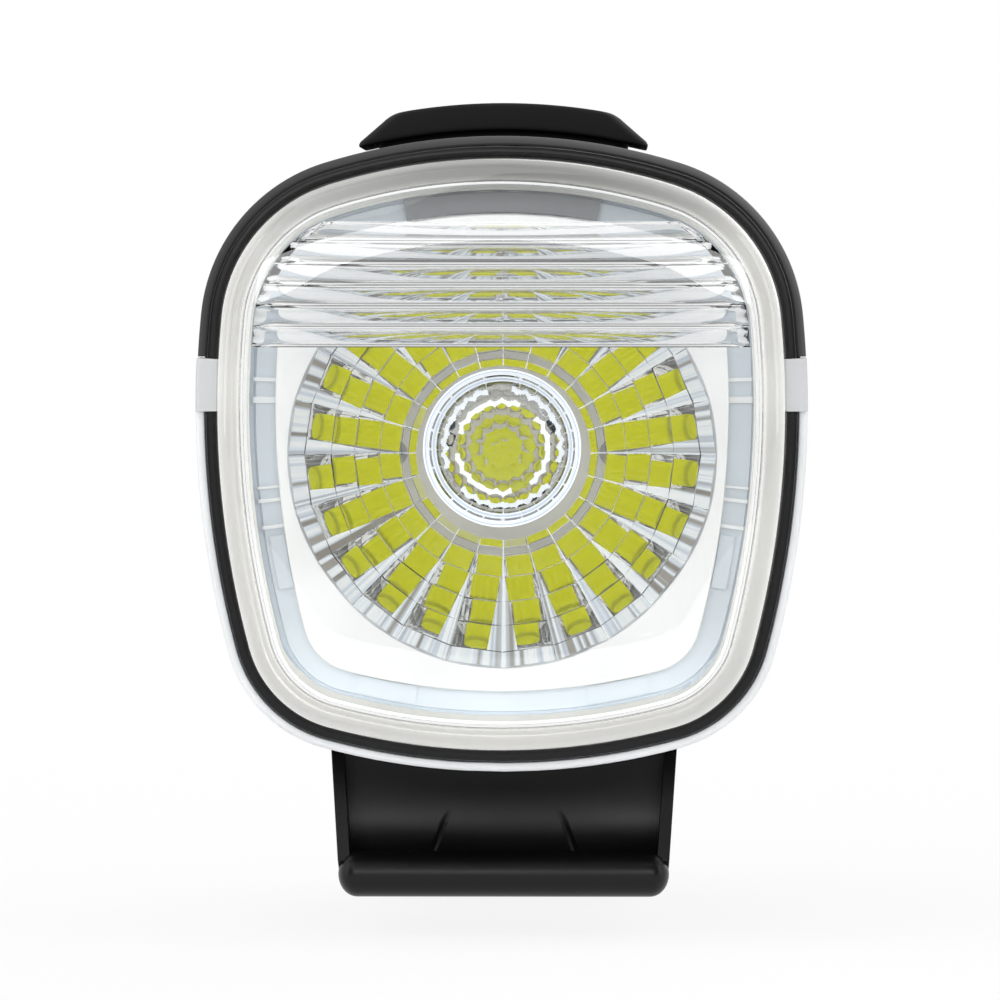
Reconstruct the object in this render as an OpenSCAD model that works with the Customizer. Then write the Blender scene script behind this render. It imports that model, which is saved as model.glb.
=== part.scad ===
// Bike headlight on a quick release handlebar bracket, in millimetres.
// +Z is up, +X is to the right seen from the front, and the light shines towards -Y.
// The origin is on the handlebar's axis, in the middle of the saddle.

/* [Optic and rim] */
// Diameter of the optic that the rim is built around
optic_d = 31.8; // [30:0.2:35]
// Depth of the optic from its front face to the light emitter's board
optic_depth = 11.7; // [10.5:0.1:14]
// Diameter of the well in the middle of the optic, at its mouth
well_d = 13; // [11:0.2:14]
// White plate left beside the optic at the sides
plate_web = 0.6; // [0.4:0.1:2]
// Width of the frosted ring that shows round the white plate
frosted_ring_w = 2.2; // [1.5:0.1:4]
// Width of the lens's edge band, seen from the front
lens_band_w = 2.45; // [2:0.05:4]
// Width of the black bezel, seen from the front
bezel_w = 0.9; // [0.7:0.05:1.5]
// Width of the outermost lip round the bezel
lip_w = 0.75; // [0.6:0.05:1.2]
// Height of the rim's widest line above the optic's axis
widest_above_axis = 3.65; // [2:0.05:5]
// Radius of the rim's long sides
side_r = 71.4; // [60:0.2:90]
// Radius of the rim's upper shoulders
shoulder_r = 13.2; // [12:0.1:15]
// Radius of the rim's lower corners
corner_r = 10.1; // [9.5:0.1:12]
// Direction from the top where the top arc meets the shoulder, in degrees
top_end_angle = 17.2; // [15:0.2:20]
// How far the long side runs up from the rim's widest line
side_up = 6.97; // [4:0.01:10]
// How far the long side runs down from the rim's widest line
side_down = 18.48; // [15:0.01:20]
// Direction from the top where the lower corner meets the bottom, in degrees
corner_end_angle = 164.9; // [162:0.2:167]

/* [Front lens] */
// How far the lens's edge stands ahead of the bezel
lens_reach = 3.6; // [2.5:0.1:5]
// Extra height of the lens's crown over its edge
lens_crown = 0.9; // [0.4:0.1:1.5]
// Thickness of the lens's side wall
lens_wall = 1.8; // [1.4:0.1:2.2]
// Thickness of the lens's front face
lens_face_t = 2; // [1.6:0.1:2.6]
// Rounding of the lens's front edge
lens_edge_r = 1.6; // [1:0.1:2.2]
// Depth that the lens's wall reaches behind the bezel's face
lens_seat = 4; // [3:0.1:4.4]
// Number of flutes inside the upper half of the lens
flute_count = 6; // [4:1:7]
// Spacing of the flutes
flute_pitch = 1.54; // [1.3:0.02:1.7]
// Height of the lowest flute's lower edge above the optic's axis
flute_bottom = 8.15; // [7:0.05:9]
// Depth of each flute
flute_depth = 0.5; // [0.3:0.05:0.7]
// Half of the fluted area's width
flute_half_w = 19.2; // [15:0.2:20]

/* [Lamp body] */
// Wall thickness of the two shells
wall = 1.6; // [1.2:0.1:2]
// Height of the line where the shells meet, above the optic's axis
split_above_axis = 7.2; // [6.4:0.1:7.6]
// Height of each end block of the side light guide
end_block_h = 4; // [3:0.1:5]
// How much the body draws in on each side towards the rear
body_taper = 3.5; // [2:0.1:4.5]
// Rounding of the rear edge
rear_r = 3.2; // [2:0.1:4]
// Diameter of the rechargeable cell
cell_d = 18.3; // [17:0.1:19]
// Length of the rechargeable cell
cell_len = 35.5; // [30:0.5:45]
// Distance of the cell's axis below the optic's axis
cell_drop = 3.5; // [2.5:0.1:4.5]
// Thickness of the main circuit board
board_t = 1.6; // [1:0.1:2]
// Height of the main circuit board's underside above the optic's axis
board_above_axis = 12; // [11.6:0.1:12.6]
// Thickness of the heat sink
sink_t = 5.4; // [4.5:0.1:7]
// Diameter of the shell screws' shanks
shell_screw_d = 2; // [1.8:0.1:2.2]

/* [Power button] */
// Width of the button at its foot
button_foot_w = 22; // [20:0.5:24]
// Width of the button's top face
button_top_w = 16.8; // [14:0.2:18]
// Length of the button along the lamp
button_len = 16.5; // [14:0.5:18]
// Distance from the bezel's face to the button's front foot
button_front = 9.5; // [8.5:0.1:11]
// Height of the button's top over the shell
button_rise = 2.5; // [2:0.1:3]
// Travel of the button
button_travel = 0.5; // [0.3:0.05:0.6]

/* [Handlebar bracket] */
// Diameter of the handlebar
bar_d = 25.4; // [22:0.1:32]
// Length of the saddle along the handlebar
saddle_len = 23; // [21:0.5:25]
// Thickness of the rubber pad in the saddle
pad_t = 1; // [0.6:0.1:1.5]
// Height of the saddle's feet above the handlebar's axis
foot_above_bar = 5.1; // [4.5:0.1:6]
// Thickness of the saddle's front leg beside the handlebar
leg_t = 2.9; // [2:0.1:4]
// Width of the strap that holds the bracket on the handlebar
strap_w = 14; // [10:0.5:14.5]
// Height of the slot for the strap
strap_slot_h = 2.6; // [2.2:0.1:4]
// Thickness of the shoe's flange that slides in the bracket's channel
shoe_flange_t = 1.8; // [1.5:0.1:2.4]
// Width of the shoe's flange
shoe_flange_w = 14; // [12:0.2:14.6]
// Width of the shoe's neck
shoe_neck_w = 9.2; // [8:0.2:10]
// Length of the shoe
shoe_len = 31.6; // [28:0.2:34]

/* [Release lever] */
// Room between the bracket's sides and the lever's cheeks
cheek_room = 0.5; // [0.4:0.05:1]
// Diameter of the thumb bead
bead_d = 3.3; // [3:0.1:3.8]
// Distance of the bead's axis ahead of the lever's plate
bead_proud = 3.8; // [3.2:0.1:5]
// Distance of the bead's axis below the top of the lever's plate
bead_drop = 13.4; // [12.6:0.1:14.2]
// Thickness of the lever's cheeks
cheek_t = 0.85; // [0.7:0.05:1]
// Thickness of the lever's plate
lever_plate_t = 1.2; // [1:0.1:1.5]
// Distance of the hinge pins ahead of the handlebar's axis
hinge_ahead = 3; // [1:0.5:5]
// Diameter of the hinge pins
pin_d = 2; // [1.6:0.1:2.4]
// Wire of the lever's springs
spring_wire = 0.4; // [0.3:0.05:0.45]
// Outside diameter of the lever's springs
spring_d = 3.2; // [2.8:0.1:3.2]
// Number of turns of each spring
spring_turns = 4; // [3:1:5]

/* [Charging port] */
// Width of the charging socket's shell
socket_w = 8.94; // [8.9:0.02:9]
// Height of the charging socket's shell
socket_h = 3.26; // [3.2:0.02:3.3]
// Length of the charging socket
socket_len = 7.4; // [6.5:0.1:9]
// Thickness of the port's cover
cover_t = 1.4; // [1.2:0.1:1.8]

/* [Hidden] */
$fn = 48;
// Slack between pieces that are pressed or glued together
fit_gap = 0.1;
// Slack between pieces that move past each other
move_gap = 0.3;
// Radial clearance of a running shaft
run_gap = 0.05;
// Longer than the whole object, for cuts that go right through
reach = 200;
// Room round a screw in a hole that it passes through
screw_room = 0.2;
// Depth that a screw head lies below its surface
head_sink = 0.3;

// Rings of the face, as distances inwards from the rim's outline
optic_r = optic_d / 2;
hole_gap = 0.15;
hole_r = optic_r + hole_gap;
o_bezel_in = lip_w + bezel_w;
o_lens_out = o_bezel_in + fit_gap;
o_lens_in = o_lens_out + lens_wall;
o_plate = o_bezel_in + lens_band_w + frosted_ring_w;
plate_seat = 1.7;
o_flange_in = o_plate + plate_seat;
lip_slack = 0.05;
half_w = hole_r + plate_web + o_plate;

// The rim's outline: five arcs that run into each other, from the top down the right side
function polar(centre, r, a) = [centre[0] + r * sin(a), centre[1] + r * cos(a)];
shoulder_end_angle = acos(side_up / side_r);
side_end_angle = acos(-side_down / side_r);
side_c = [half_w - side_r, widest_above_axis];
shoulder_c = polar(side_c, side_r - shoulder_r, shoulder_end_angle);
corner_c = polar(side_c, side_r - corner_r, side_end_angle);
top_r = shoulder_r + shoulder_c[0] / sin(top_end_angle);
bottom_r = corner_r + corner_c[0] / sin(corner_end_angle);
top_c = polar(shoulder_c, shoulder_r - top_r, top_end_angle);
bottom_c = polar(corner_c, corner_r - bottom_r, corner_end_angle);
rim_arcs = [
    [top_c, top_r, 0, top_end_angle, 3],
    [shoulder_c, shoulder_r, top_end_angle, shoulder_end_angle, 8],
    [side_c, side_r, shoulder_end_angle, side_end_angle, 6],
    [corner_c, corner_r, side_end_angle, corner_end_angle, 7],
    [bottom_c, bottom_r, corner_end_angle, 180, 3],
];
function arc_points(arc, o) = [
    for (i = [0 : arc[4] - 1]) polar(arc[0], arc[1] - o, arc[2] + (arc[3] - arc[2]) * i / arc[4])
];
function right_side(o) = [for (arc = rim_arcs) each arc_points(arc, o)];
function rim(o) =
    let (right = right_side(o))
    concat(
        right,
        [polar(bottom_c, bottom_r - o, 180)],
        [for (i = [len(right) - 1 : -1 : 1]) [-right[i][0], right[i][1]]]
    );
rim_top = top_c[1] + top_r;
rim_bottom = bottom_c[1] - bottom_r;
// Half width of the body at a height, for a given inset
function side_x(o, z) = side_c[0] + sqrt((side_r - o) ^ 2 - (z - side_c[1]) ^ 2);

// Depths behind the bezel's front face
flange_t = 1.3;
gasket_t = 0.7;
gasket_inset = 0.15;
u_flange = lens_seat + gasket_t;
block_back = 1.7;
guide_tail = 0.2;
u_shell = u_flange + flange_t + fit_gap;
plate_t = 1.2;
u_plate = u_flange - plate_t;
optic_proud = 0.2;
u_optic = u_plate - optic_proud;
u_led_board = u_optic + optic_depth;
led_board_t = 1.6;
u_sink = u_led_board + led_board_t;
chassis_t = 1.5;
u_chassis = u_sink + sink_t;
end_pad_t = 0.6;
u_cell = u_chassis + chassis_t + end_pad_t;
u_stop = u_cell + cell_len + end_pad_t;
stop_t = 1.2;
u_chassis_end = u_stop + stop_t;
rear_room = 3;
u_end = u_chassis_end + rear_room + wall;
lip_front = 0.4;
lip_chamfer = 0.35;

// Heights above the optic's axis inside the body
cell_r = cell_d / 2;
cell_rest_t = 0.75;
chassis_floor_t = 1.4;
chassis_top = -cell_drop - cell_r - cell_rest_t;
chassis_bottom = chassis_top - chassis_floor_t;
body_bottom = chassis_bottom - fit_gap - wall;
split_gap = 0.4;
split_low = split_above_axis - split_gap / 2;
split_high = split_above_axis + split_gap / 2;
block_top = split_high - fit_gap;
board_top = board_above_axis + board_t;
chassis_gap = 0.55;
chassis_side_t = 1.1;
chassis_half_w = cell_r + chassis_gap + chassis_side_t;

// The body keeps its full section as far as the button goes, then draws in
button_end = button_front + button_len;
u_taper = button_end + 2;
u_round = u_end - rear_r;
belly_start = u_shell + 3;
belly_slope = -body_bottom + rim_bottom;
belly_end = belly_start - belly_slope;
function taper_at(u) = body_taper * max(0, u - u_taper) / (u_round - u_taper);
function belly_at(u) =
    u <= belly_start ? rim_bottom - wall
    : u >= belly_end ? body_bottom
    : rim_bottom + (body_bottom - rim_bottom) * (u - belly_start) / (belly_end - belly_start);
rear_steps = 4;
function rear_rings(inset) = [
    for (i = [1 : rear_steps])
        let (a = 90 * i / rear_steps, r = rear_r - min(inset, rear_r - 0.5))
        [u_end - inset - r + r * sin(a), body_taper + inset + r * (1 - cos(a)), r * (1 - cos(a))]
];
function straight_rings(u_from, inset) = [
    for (u = [u_from, belly_start, belly_end, u_taper, u_round - 0.01]) [u, taper_at(u) + inset, 0]
];
function body_rings(u_from, inset) = [
    for (ring = concat(straight_rings(u_from, inset), rear_rings(inset)))
        [ring[0], ring[1], belly_at(ring[0]) + inset + ring[2]]
];

// Where the lamp sits over the handlebar: the bracket's layers from the bar upwards
bar_r = bar_d / 2;
saddle_r = bar_r + pad_t;
web_t = 1.2;
z_slot = saddle_r + web_t;
roof_t = 1;
z_channel = z_slot + strap_slot_h + roof_t;
z_lip = z_channel + shoe_flange_t + 2 * fit_gap;
lip_t = 1.1;
z_base_top = z_lip + lip_t;
shoe_plate_t = 1.4;
z_body_bottom = z_base_top + fit_gap + shoe_plate_t;
optical_height = z_body_bottom - body_bottom;
face_ahead = 36;

// The bracket's base
base_half_w = saddle_len / 2;
base_front = -(saddle_r + leg_t);
rear_leg_extra = 0.8;
base_rear = saddle_r + leg_t + rear_leg_extra;
base_chamfer = 1.2;
shoe_front = base_front - move_gap;
shoe_rear = shoe_front + shoe_len;

// The release lever
strap_gap = 2.4;
lever_back = base_front - strap_gap;
lever_front = lever_back - lever_plate_t;
hinge_z = z_slot + strap_slot_h / 2 + 0.2;
pin_r = pin_d / 2;
eye_r = 2.9;
bead_w = saddle_len + 2 * (cheek_room + cheek_t);
cheek_low_x = bead_w / 2;
cheek_flare = 0.55;
cheek_high_x = cheek_low_x + cheek_flare;
lever_top = z_lip + 0.2;
bead_ahead = bead_proud - lever_front;
bead_height = lever_top - bead_drop;
tooth_top = z_lip - 1;
tooth_half_w = 4;
tooth_back = shoe_front - move_gap;
pin_boss_r = 2.2;
pin_seat = 1.2;
spring_x = strap_w / 2 + spring_d / 2 + 0.7;
spring_drop = 11.3;
spring_z = lever_top - spring_drop;
pocket_depth = 3;
pocket_r = spring_d / 2 + 0.15;

// Screws and their bosses: [sideways, depth behind the bezel's face]
boss_r = 2.6;
front_boss_room = 1.2;
rear_boss_room = 0.5;
front_boss_back = 4;
rear_boss_back = 32;
front_boss = [chassis_half_w + boss_r + front_boss_room, u_chassis + front_boss_back];
rear_boss = [chassis_half_w + boss_r + rear_boss_room, u_chassis + rear_boss_back];
shell_bosses = [for (b = [front_boss, rear_boss], s = [-1, 1]) [s * b[0], b[1]]];
shell_screw_r = shell_screw_d / 2;
head_r = 1.75;
head_t = 1.3;
screw_seat_drop = 4;
screw_seat = -screw_seat_drop;
screw_tip_room = 0.4;
screw_len = 18;
thread_gap = 0.02;
shoe_screw_ahead = 11;
shoe_screw_behind = 9;
shoe_screw_y = [-shoe_screw_ahead, shoe_screw_behind];

// The switch under the button
switch_w = 6;
switch_h = 3.5;
switch_cap_r = 1.7;
switch_u = button_front + button_len / 2;
button_gap = button_travel + 0.1;
flange_gap = 0.25;
button_flange_t = 0.9;
switch_cap_top = rim_top - wall - flange_gap - button_flange_t - fit_gap;
switch_cap_bottom = board_top + switch_h - 1.5;

// The charging port in the rear wall
socket_top = board_above_axis - fit_gap;
socket_mid = socket_top - socket_h / 2;
u_socket_mouth = u_end - 1.2;
port_gap = 0.32;
cover_half_w = 6.5;
cover_low = split_high + 0.3;
cover_hinge_z = socket_top + 2.4;
cover_bead_r = 0.85;
trunnion_r = 0.5;
cover_hinge_u = u_end + fit_gap + cover_bead_r;
lug_t = 1.5;
lug_x = cover_half_w + move_gap;

black_plastic = [0.11, 0.11, 0.12];
black_rubber = [0.07, 0.07, 0.075];
clear_plastic = [0.9, 0.93, 0.95, 0.4];
frosted_plastic = [0.9, 0.93, 0.96];
white_plastic = [0.97, 0.97, 0.97];
bare_metal = [0.72, 0.73, 0.75];

// Puts lamp pieces, drawn with depth along Y behind the bezel's face, over the handlebar
module in_lamp() {
    translate([0, -face_ahead, optical_height]) children();
}

// A flat shape seen from the front, made solid between two depths
module slab(u_from, u_to) {
    translate([0, u_to, 0]) rotate([90, 0, 0]) linear_extrude(u_to - u_from) children();
}

// A flat shape seen from the right, with depth across and height up, made solid across X
module across(x_from, x_to) {
    translate([x_from, 0, 0]) rotate([90, 0, 90]) linear_extrude(x_to - x_from) children();
}

// A round rod along Y between two depths
module rod(r, u_from, u_to) {
    translate([0, u_from, 0]) rotate([-90, 0, 0]) cylinder(r = r, h = u_to - u_from);
}

// A round rod along X, centred
module cross_rod(r, len) {
    rotate([0, 90, 0]) cylinder(r = r, h = len, center = true);
}

module block(low, high) {
    translate(low) cube(high - low);
}

module above(z) {
    intersection() {
        children();
        block([-reach, -reach, z], [reach, reach, reach]);
    }
}

module below(z) {
    intersection() {
        children();
        block([-reach, -reach, -reach], [reach, reach, z]);
    }
}

module mirrored() {
    children();
    mirror([1, 0, 0]) children();
}

module rim_shape(o) {
    polygon(rim(o));
}

module rim_band(o_from, o_to) {
    difference() {
        rim_shape(o_from);
        rim_shape(o_to);
    }
}

// A closed skin over rings of the rim's outline: [depth, inset, lowest height]
module skin(rings) {
    n = len(rim(0));
    points = [for (ring = rings, p = rim(ring[1])) [p[0], ring[0], max(p[1], ring[2])]];
    sides = [
        for (k = [0 : len(rings) - 2], i = [0 : n - 1])
            let (j = (i + 1) % n, a = k * n + i, b = k * n + j)
            each [[a, a + n, b + n], [a, b + n, b]]
    ];
    last = (len(rings) - 1) * n;
    front = [for (i = [0 : n - 1]) i];
    back = [for (i = [n - 1 : -1 : 0]) last + i];
    polyhedron(points, concat([front], sides, [back]));
}

// A round wire through a list of points
module wire(points, r) {
    for (i = [0 : len(points) - 2]) {
        run = points[i + 1] - points[i];
        turn = [0, acos(run[2] / norm(run)), atan2(run[1], run[0])];
        translate(points[i]) rotate(turn) cylinder(r = r, h = norm(run), $fn = 24);
    }
    for (i = [1 : len(points) - 2]) translate(points[i]) sphere(r = r * 1.03, $fn = 24);
}

// Crown of the lens: how far the face has risen at a distance in from its edge
crown_run = corner_r - o_lens_out - 2 * lens_edge_r / 3 - 1;
function crown_at(s) = lens_crown * (1 - (1 - s / crown_run) ^ 2);
lens_outer_rings = concat(
    [[lens_seat, o_lens_out, -reach]],
    [
        for (a = [0 : 30 : 60])
            [-lens_reach + lens_edge_r * (1 - sin(a)), o_lens_out + lens_edge_r * (1 - cos(a)), -reach]
    ],
    [
        for (i = [0 : 4])
            let (s = crown_run * i / 4)
            [-lens_reach - crown_at(s), o_lens_out + 2 * lens_edge_r / 3 + s, -reach]
    ]
);
lens_inner_rings = concat(
    [[lens_seat + 1, o_lens_in, -reach]],
    [[-lens_reach + lens_face_t + 0.4, o_lens_in, -reach]],
    [
        for (i = [1 : 4])
            let (s = crown_run * i / 4)
            [-lens_reach + lens_face_t - crown_at(s), o_lens_in + (s - crown_run / 4) * 0.8 + 0.4, -reach]
    ]
);
function deepest_first(rings) = [for (i = [len(rings) - 1 : -1 : 0]) rings[i]];

module front_lens() {
    flute_root = -lens_reach + lens_face_t - lens_crown / 2;
    pad_front = flute_root - lens_face_t / 2;
    crest_steps = 6;
    crests = [
        for (i = [0 : flute_count - 1], k = [0 : crest_steps - 1])
            let (part = k / crest_steps)
            [flute_root + 0.3 + flute_depth * sin(180 * part), flute_bottom + (i + part) * flute_pitch]
    ];
    flute_top = flute_bottom + flute_count * flute_pitch;
    color(clear_plastic) in_lamp() {
        difference() {
            skin(deepest_first(lens_outer_rings));
            skin(deepest_first(lens_inner_rings));
        }
        intersection() {
            across(-flute_half_w, flute_half_w) {
                polygon(concat(
                    [[pad_front, flute_bottom]], crests,
                    [[flute_root + 0.3, flute_top], [pad_front, flute_top]]
                ));
            }
            slab(-lens_reach, lens_seat) rim_shape(o_lens_in + 0.3);
        }
    }
}

module lens_gasket() {
    color([0.75, 0.76, 0.78]) in_lamp() {
        slab(lens_seat, u_flange) rim_band(o_lens_out + gasket_inset, o_lens_in - gasket_inset);
    }
}

// The stretch of the outline that the light guide's end blocks take up, in front of the bezel
module end_block_zone(slack) {
    block([-reach, -lip_front, block_top - end_block_h - slack],
        [reach, u_flange - block_back + slack, block_top + slack]);
}

module front_bezel() {
    color(black_plastic) in_lamp() difference() {
        slab(0, u_flange) rim_band(lip_w, o_bezel_in);
        end_block_zone(lip_slack);
    }
}

module side_light_guide() {
    color(frosted_plastic) in_lamp() difference() {
        union() {
            slab(u_flange, u_shell - fit_gap) rim_band(wall + fit_gap, o_flange_in);
            below(split_low) slab(u_flange, u_shell - fit_gap) rim_band(0, o_flange_in);
            below(block_top) slab(lip_front, u_flange + guide_tail) rim_band(0, lip_w - lip_slack);
            intersection() {
                slab(0, u_flange) rim_band(0, o_bezel_in);
                end_block_zone(0);
            }
        }
        rod(hole_r, 0, u_shell);
    }
}

module reflector_plate() {
    color(white_plastic) in_lamp() difference() {
        slab(u_plate, u_flange) rim_shape(o_plate);
        rod(hole_r, 0, u_shell);
    }
}

module collimator_lens() {
    collar_r = 6.2;
    collar_len = 1.6;
    edge_t = 0.9;
    cavity_r = 3.2;
    cavity_depth = 2.8;
    well_depth = 0.62 * optic_depth;
    well_floor_r = well_d / 2 - 1.2;
    dome_rise = 1.2;
    bowl_start = u_optic + edge_t;
    bowl_end = u_led_board - collar_len;
    bowl_steps = 8;
    dome_steps = 5;
    bowl = [
        for (i = [0 : bowl_steps])
            let (part = i / bowl_steps)
            [collar_r + (optic_r - collar_r) * sqrt(1 - part), bowl_start + (bowl_end - bowl_start) * part]
    ];
    dome = [
        for (i = [0 : dome_steps])
            let (part = i / dome_steps)
            [well_floor_r * part, u_optic + well_depth - dome_rise * (1 - part * part)]
    ];
    color(clear_plastic) in_lamp() rotate([-90, 0, 0]) rotate_extrude($fn = 96) {
        polygon(concat(
            dome, [[well_d / 2, u_optic], [optic_r, u_optic]], bowl,
            [[collar_r, u_led_board], [cavity_r, u_led_board], [cavity_r, u_led_board - cavity_depth]],
            [[0, u_led_board - cavity_depth]]
        ));
    }
}

led_half = 1.75;
led_base_t = 0.7;

module led_emitter() {
    dome_r = 1.4;
    u_dome = u_led_board - led_base_t;
    color([0.95, 0.85, 0.2]) in_lamp() {
        block([-led_half, u_dome, -led_half], [led_half, u_led_board, led_half]);
        intersection() {
            translate([0, u_dome, 0]) sphere(r = dome_r);
            block([-led_half, u_dome - dome_r, -led_half], [led_half, u_led_board - 0.2, led_half]);
        }
    }
}

led_screw_x = 8.3;
led_screw_r = 0.8;
led_board_r = 10;
led_lead_x = 2;
led_lead_r = 0.5;

module led_board() {
    color([0.86, 0.88, 0.86]) in_lamp() difference() {
        rod(led_board_r, u_led_board, u_sink);
        for (s = [-1, 1]) translate([s * led_screw_x, 0, 0]) rod(led_screw_r + fit_gap, 0, reach);
    }
}

module led_screws() {
    led_head_r = 1.4;
    led_head_t = 1.1;
    color(bare_metal) in_lamp() for (s = [-1, 1]) translate([s * led_screw_x, 0, 0]) {
        difference() {
            rod(led_head_r, u_led_board - led_head_t, u_led_board);
            rod(led_head_r / 2, u_led_board - led_head_t - 1, u_led_board - led_head_t / 2);
        }
        rod(led_screw_r, u_led_board - led_head_t / 2, u_sink + sink_t / 2);
    }
}

spigot_r = 4;

module heat_sink() {
    sink_r = led_board_r + 1.2;
    slot_w = 1.2;
    slot_x = 6.4;
    color(bare_metal) in_lamp() difference() {
        union() {
            rod(sink_r, u_sink, u_chassis);
            rod(spigot_r, u_sink, u_chassis + chassis_t);
        }
        for (x = [-slot_x, slot_x]) {
            block([x - slot_w / 2, u_sink + sink_t / 2, -reach], [x + slot_w / 2, u_chassis + 1, reach]);
        }
        for (s = [-1, 1]) translate([s * led_screw_x, 0, 0]) {
            rod(led_screw_r + thread_gap, u_sink - 1, u_sink + sink_t / 2 + screw_tip_room);
        }
    }
}

// The inside of the two shells
module cavity() {
    slab(-reach, u_flange) rim_shape(lip_w - lip_slack);
    skin(body_rings(u_flange - 0.01, wall));
}

// The shells before they are parted: the outer skin, hollow but for the screw bosses
module hull_with_bosses(front_rings) {
    intersection() {
        skin(concat(front_rings, body_rings(u_shell, 0)));
        union() {
            difference() {
                block([-reach, -reach, -reach], [reach, reach, reach]);
                cavity();
            }
            for (b = shell_bosses) translate([b[0], b[1], -reach / 2]) cylinder(r = boss_r, h = reach);
        }
    }
}

module button_window(slack) {
    inset = 1.2 - slack;
    block(
        [-button_foot_w / 2 + inset, button_front + inset, rim_top - reach / 4],
        [button_foot_w / 2 - inset, button_end - inset, rim_top + reach / 4]
    );
}

module upper_shell() {
    lip_rings = [[lip_front, lip_chamfer, -reach], [lip_front + 2 * lip_chamfer, 0, -reach]];
    port_half = [socket_w / 2 + port_gap, socket_h / 2 + port_gap];
    color(black_plastic) in_lamp() {
        difference() {
            above(split_high) hull_with_bosses(lip_rings);
            above(rim_top / 2) button_window(0);
            block([-port_half[0], u_chassis_end, socket_mid - port_half[1]],
                [port_half[0], u_end + 1, socket_mid + port_half[1]]);
            for (b = shell_bosses) translate([b[0], b[1], screw_seat]) {
                cylinder(r = shell_screw_r + thread_gap, h = screw_len + screw_tip_room);
            }
        }
        mirrored() cover_lug();
    }
}

module cover_lug() {
    lug_r = 1.2;
    difference() {
        union() {
            block([lug_x, u_end - wall / 2, cover_hinge_z - lug_r],
                [lug_x + lug_t, cover_hinge_u, cover_hinge_z + lug_r]);
            translate([lug_x + lug_t / 2, cover_hinge_u, cover_hinge_z]) cross_rod(lug_r, lug_t);
        }
        translate([lug_x, cover_hinge_u, cover_hinge_z]) cross_rod(trunnion_r + run_gap, 4 * lug_t);
    }
}

module lower_shell() {
    color(black_plastic) in_lamp() difference() {
        below(split_low) hull_with_bosses([]);
        for (b = shell_bosses) translate([b[0], b[1], 0]) {
            translate([0, 0, -reach]) cylinder(r = shell_screw_r + screw_room, h = 2 * reach);
            translate([0, 0, screw_seat - reach]) cylinder(r = head_r + screw_room, h = reach);
        }
        for (y = shoe_screw_y) translate([0, y + face_ahead, -reach]) {
            cylinder(r = shell_screw_r + thread_gap, h = reach);
        }
    }
}

module parting_seal() {
    seal_out = 0.35;
    seal_in = wall - seal_out;
    function seal_side(inset) = [
        for (ring = body_rings(u_shell, inset)) [side_x(ring[1], split_above_axis), ring[0]]
    ];
    function seal_loop(inset, front) =
        let (right = seal_side(inset))
        concat(
            [[right[0][0], front]], right,
            [for (i = [len(right) - 1 : -1 : 0]) [-right[i][0], right[i][1]]], [[-right[0][0], front]]
        );
    seal_t = split_gap - fit_gap;
    color(black_rubber) in_lamp() translate([0, 0, split_above_axis - seal_t / 2]) {
        linear_extrude(seal_t) difference() {
            polygon(seal_loop(seal_out, u_shell - 0.01));
            polygon(seal_loop(seal_in, u_shell - 1));
        }
    }
}

module shell_screws() {
    color(bare_metal) in_lamp() for (b = shell_bosses) translate([b[0], b[1], screw_seat]) difference() {
        union() {
            translate([0, 0, -head_t]) cylinder(r = head_r, h = head_t);
            cylinder(r = shell_screw_r, h = screw_len);
        }
        translate([0, 0, -head_t - 1]) cylinder(r = head_r / 2, h = 1 + head_t / 2);
    }
}

module inner_chassis() {
    stop_top = -cell_drop - cell_r / 2;
    color([0.2, 0.2, 0.21]) in_lamp() {
        difference() {
            block([-chassis_half_w, u_chassis, chassis_bottom],
                [chassis_half_w, u_chassis_end, board_above_axis]);
            block([-chassis_half_w + chassis_side_t, u_chassis + chassis_t, chassis_top],
                [chassis_half_w - chassis_side_t, u_chassis_end + 1, reach]);
            rod(spigot_r + fit_gap, 0, u_cell);
            for (y = shoe_screw_y) translate([0, y + face_ahead, -reach]) {
                cylinder(r = shell_screw_r + 0.3, h = reach);
            }
        }
        block([-chassis_half_w, u_stop, chassis_bottom], [chassis_half_w, u_chassis_end, stop_top]);
    }
}

module battery_cell() {
    groove = 0.5;
    groove_u = cell_len - 3;
    cap_r = 2.8;
    color([0.25, 0.45, 0.7]) in_lamp() translate([0, u_cell, -cell_drop]) rotate([-90, 0, 0]) {
        rotate_extrude($fn = 64) polygon([
            [0, 0], [cell_r - 0.4, 0], [cell_r, 0.4], [cell_r, groove_u - 0.6], [cell_r - groove, groove_u],
            [cell_r, groove_u + 0.6], [cell_r, cell_len - 0.8], [cell_r - 0.8, cell_len - 0.4],
            [cap_r, cell_len - 0.4], [cap_r, cell_len], [0, cell_len],
        ]);
    }
}

module battery_rests() {
    rest_half_w = 7;
    rest_len = 5;
    rest_inset = 4;
    first_u = u_cell + rest_inset;
    last_u = u_cell + cell_len - rest_inset - rest_len;
    color([0.32, 0.32, 0.34]) in_lamp() for (u = [first_u, last_u]) {
        difference() {
            block([-rest_half_w, u, chassis_top], [rest_half_w, u + rest_len, -cell_drop - cell_r / 2]);
            translate([0, 0, -cell_drop]) rod(cell_r + run_gap, u - 1, u + rest_len + 1);
        }
    }
}

module battery_end_pads() {
    pad_r = 6;
    front_hole_r = 4.5;
    rear_hole_r = 3.4;
    color([0.32, 0.32, 0.34]) in_lamp() translate([0, 0, -cell_drop]) {
        difference() {
            rod(pad_r, u_cell - end_pad_t, u_cell);
            rod(front_hole_r, 0, reach);
        }
        below(-cell_r / 2 + 1) difference() {
            rod(cell_r - 1, u_stop - end_pad_t, u_stop);
            rod(rear_hole_r, 0, reach);
        }
    }
}

lead_r = 0.6;
lead_x = 6.4;

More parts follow.
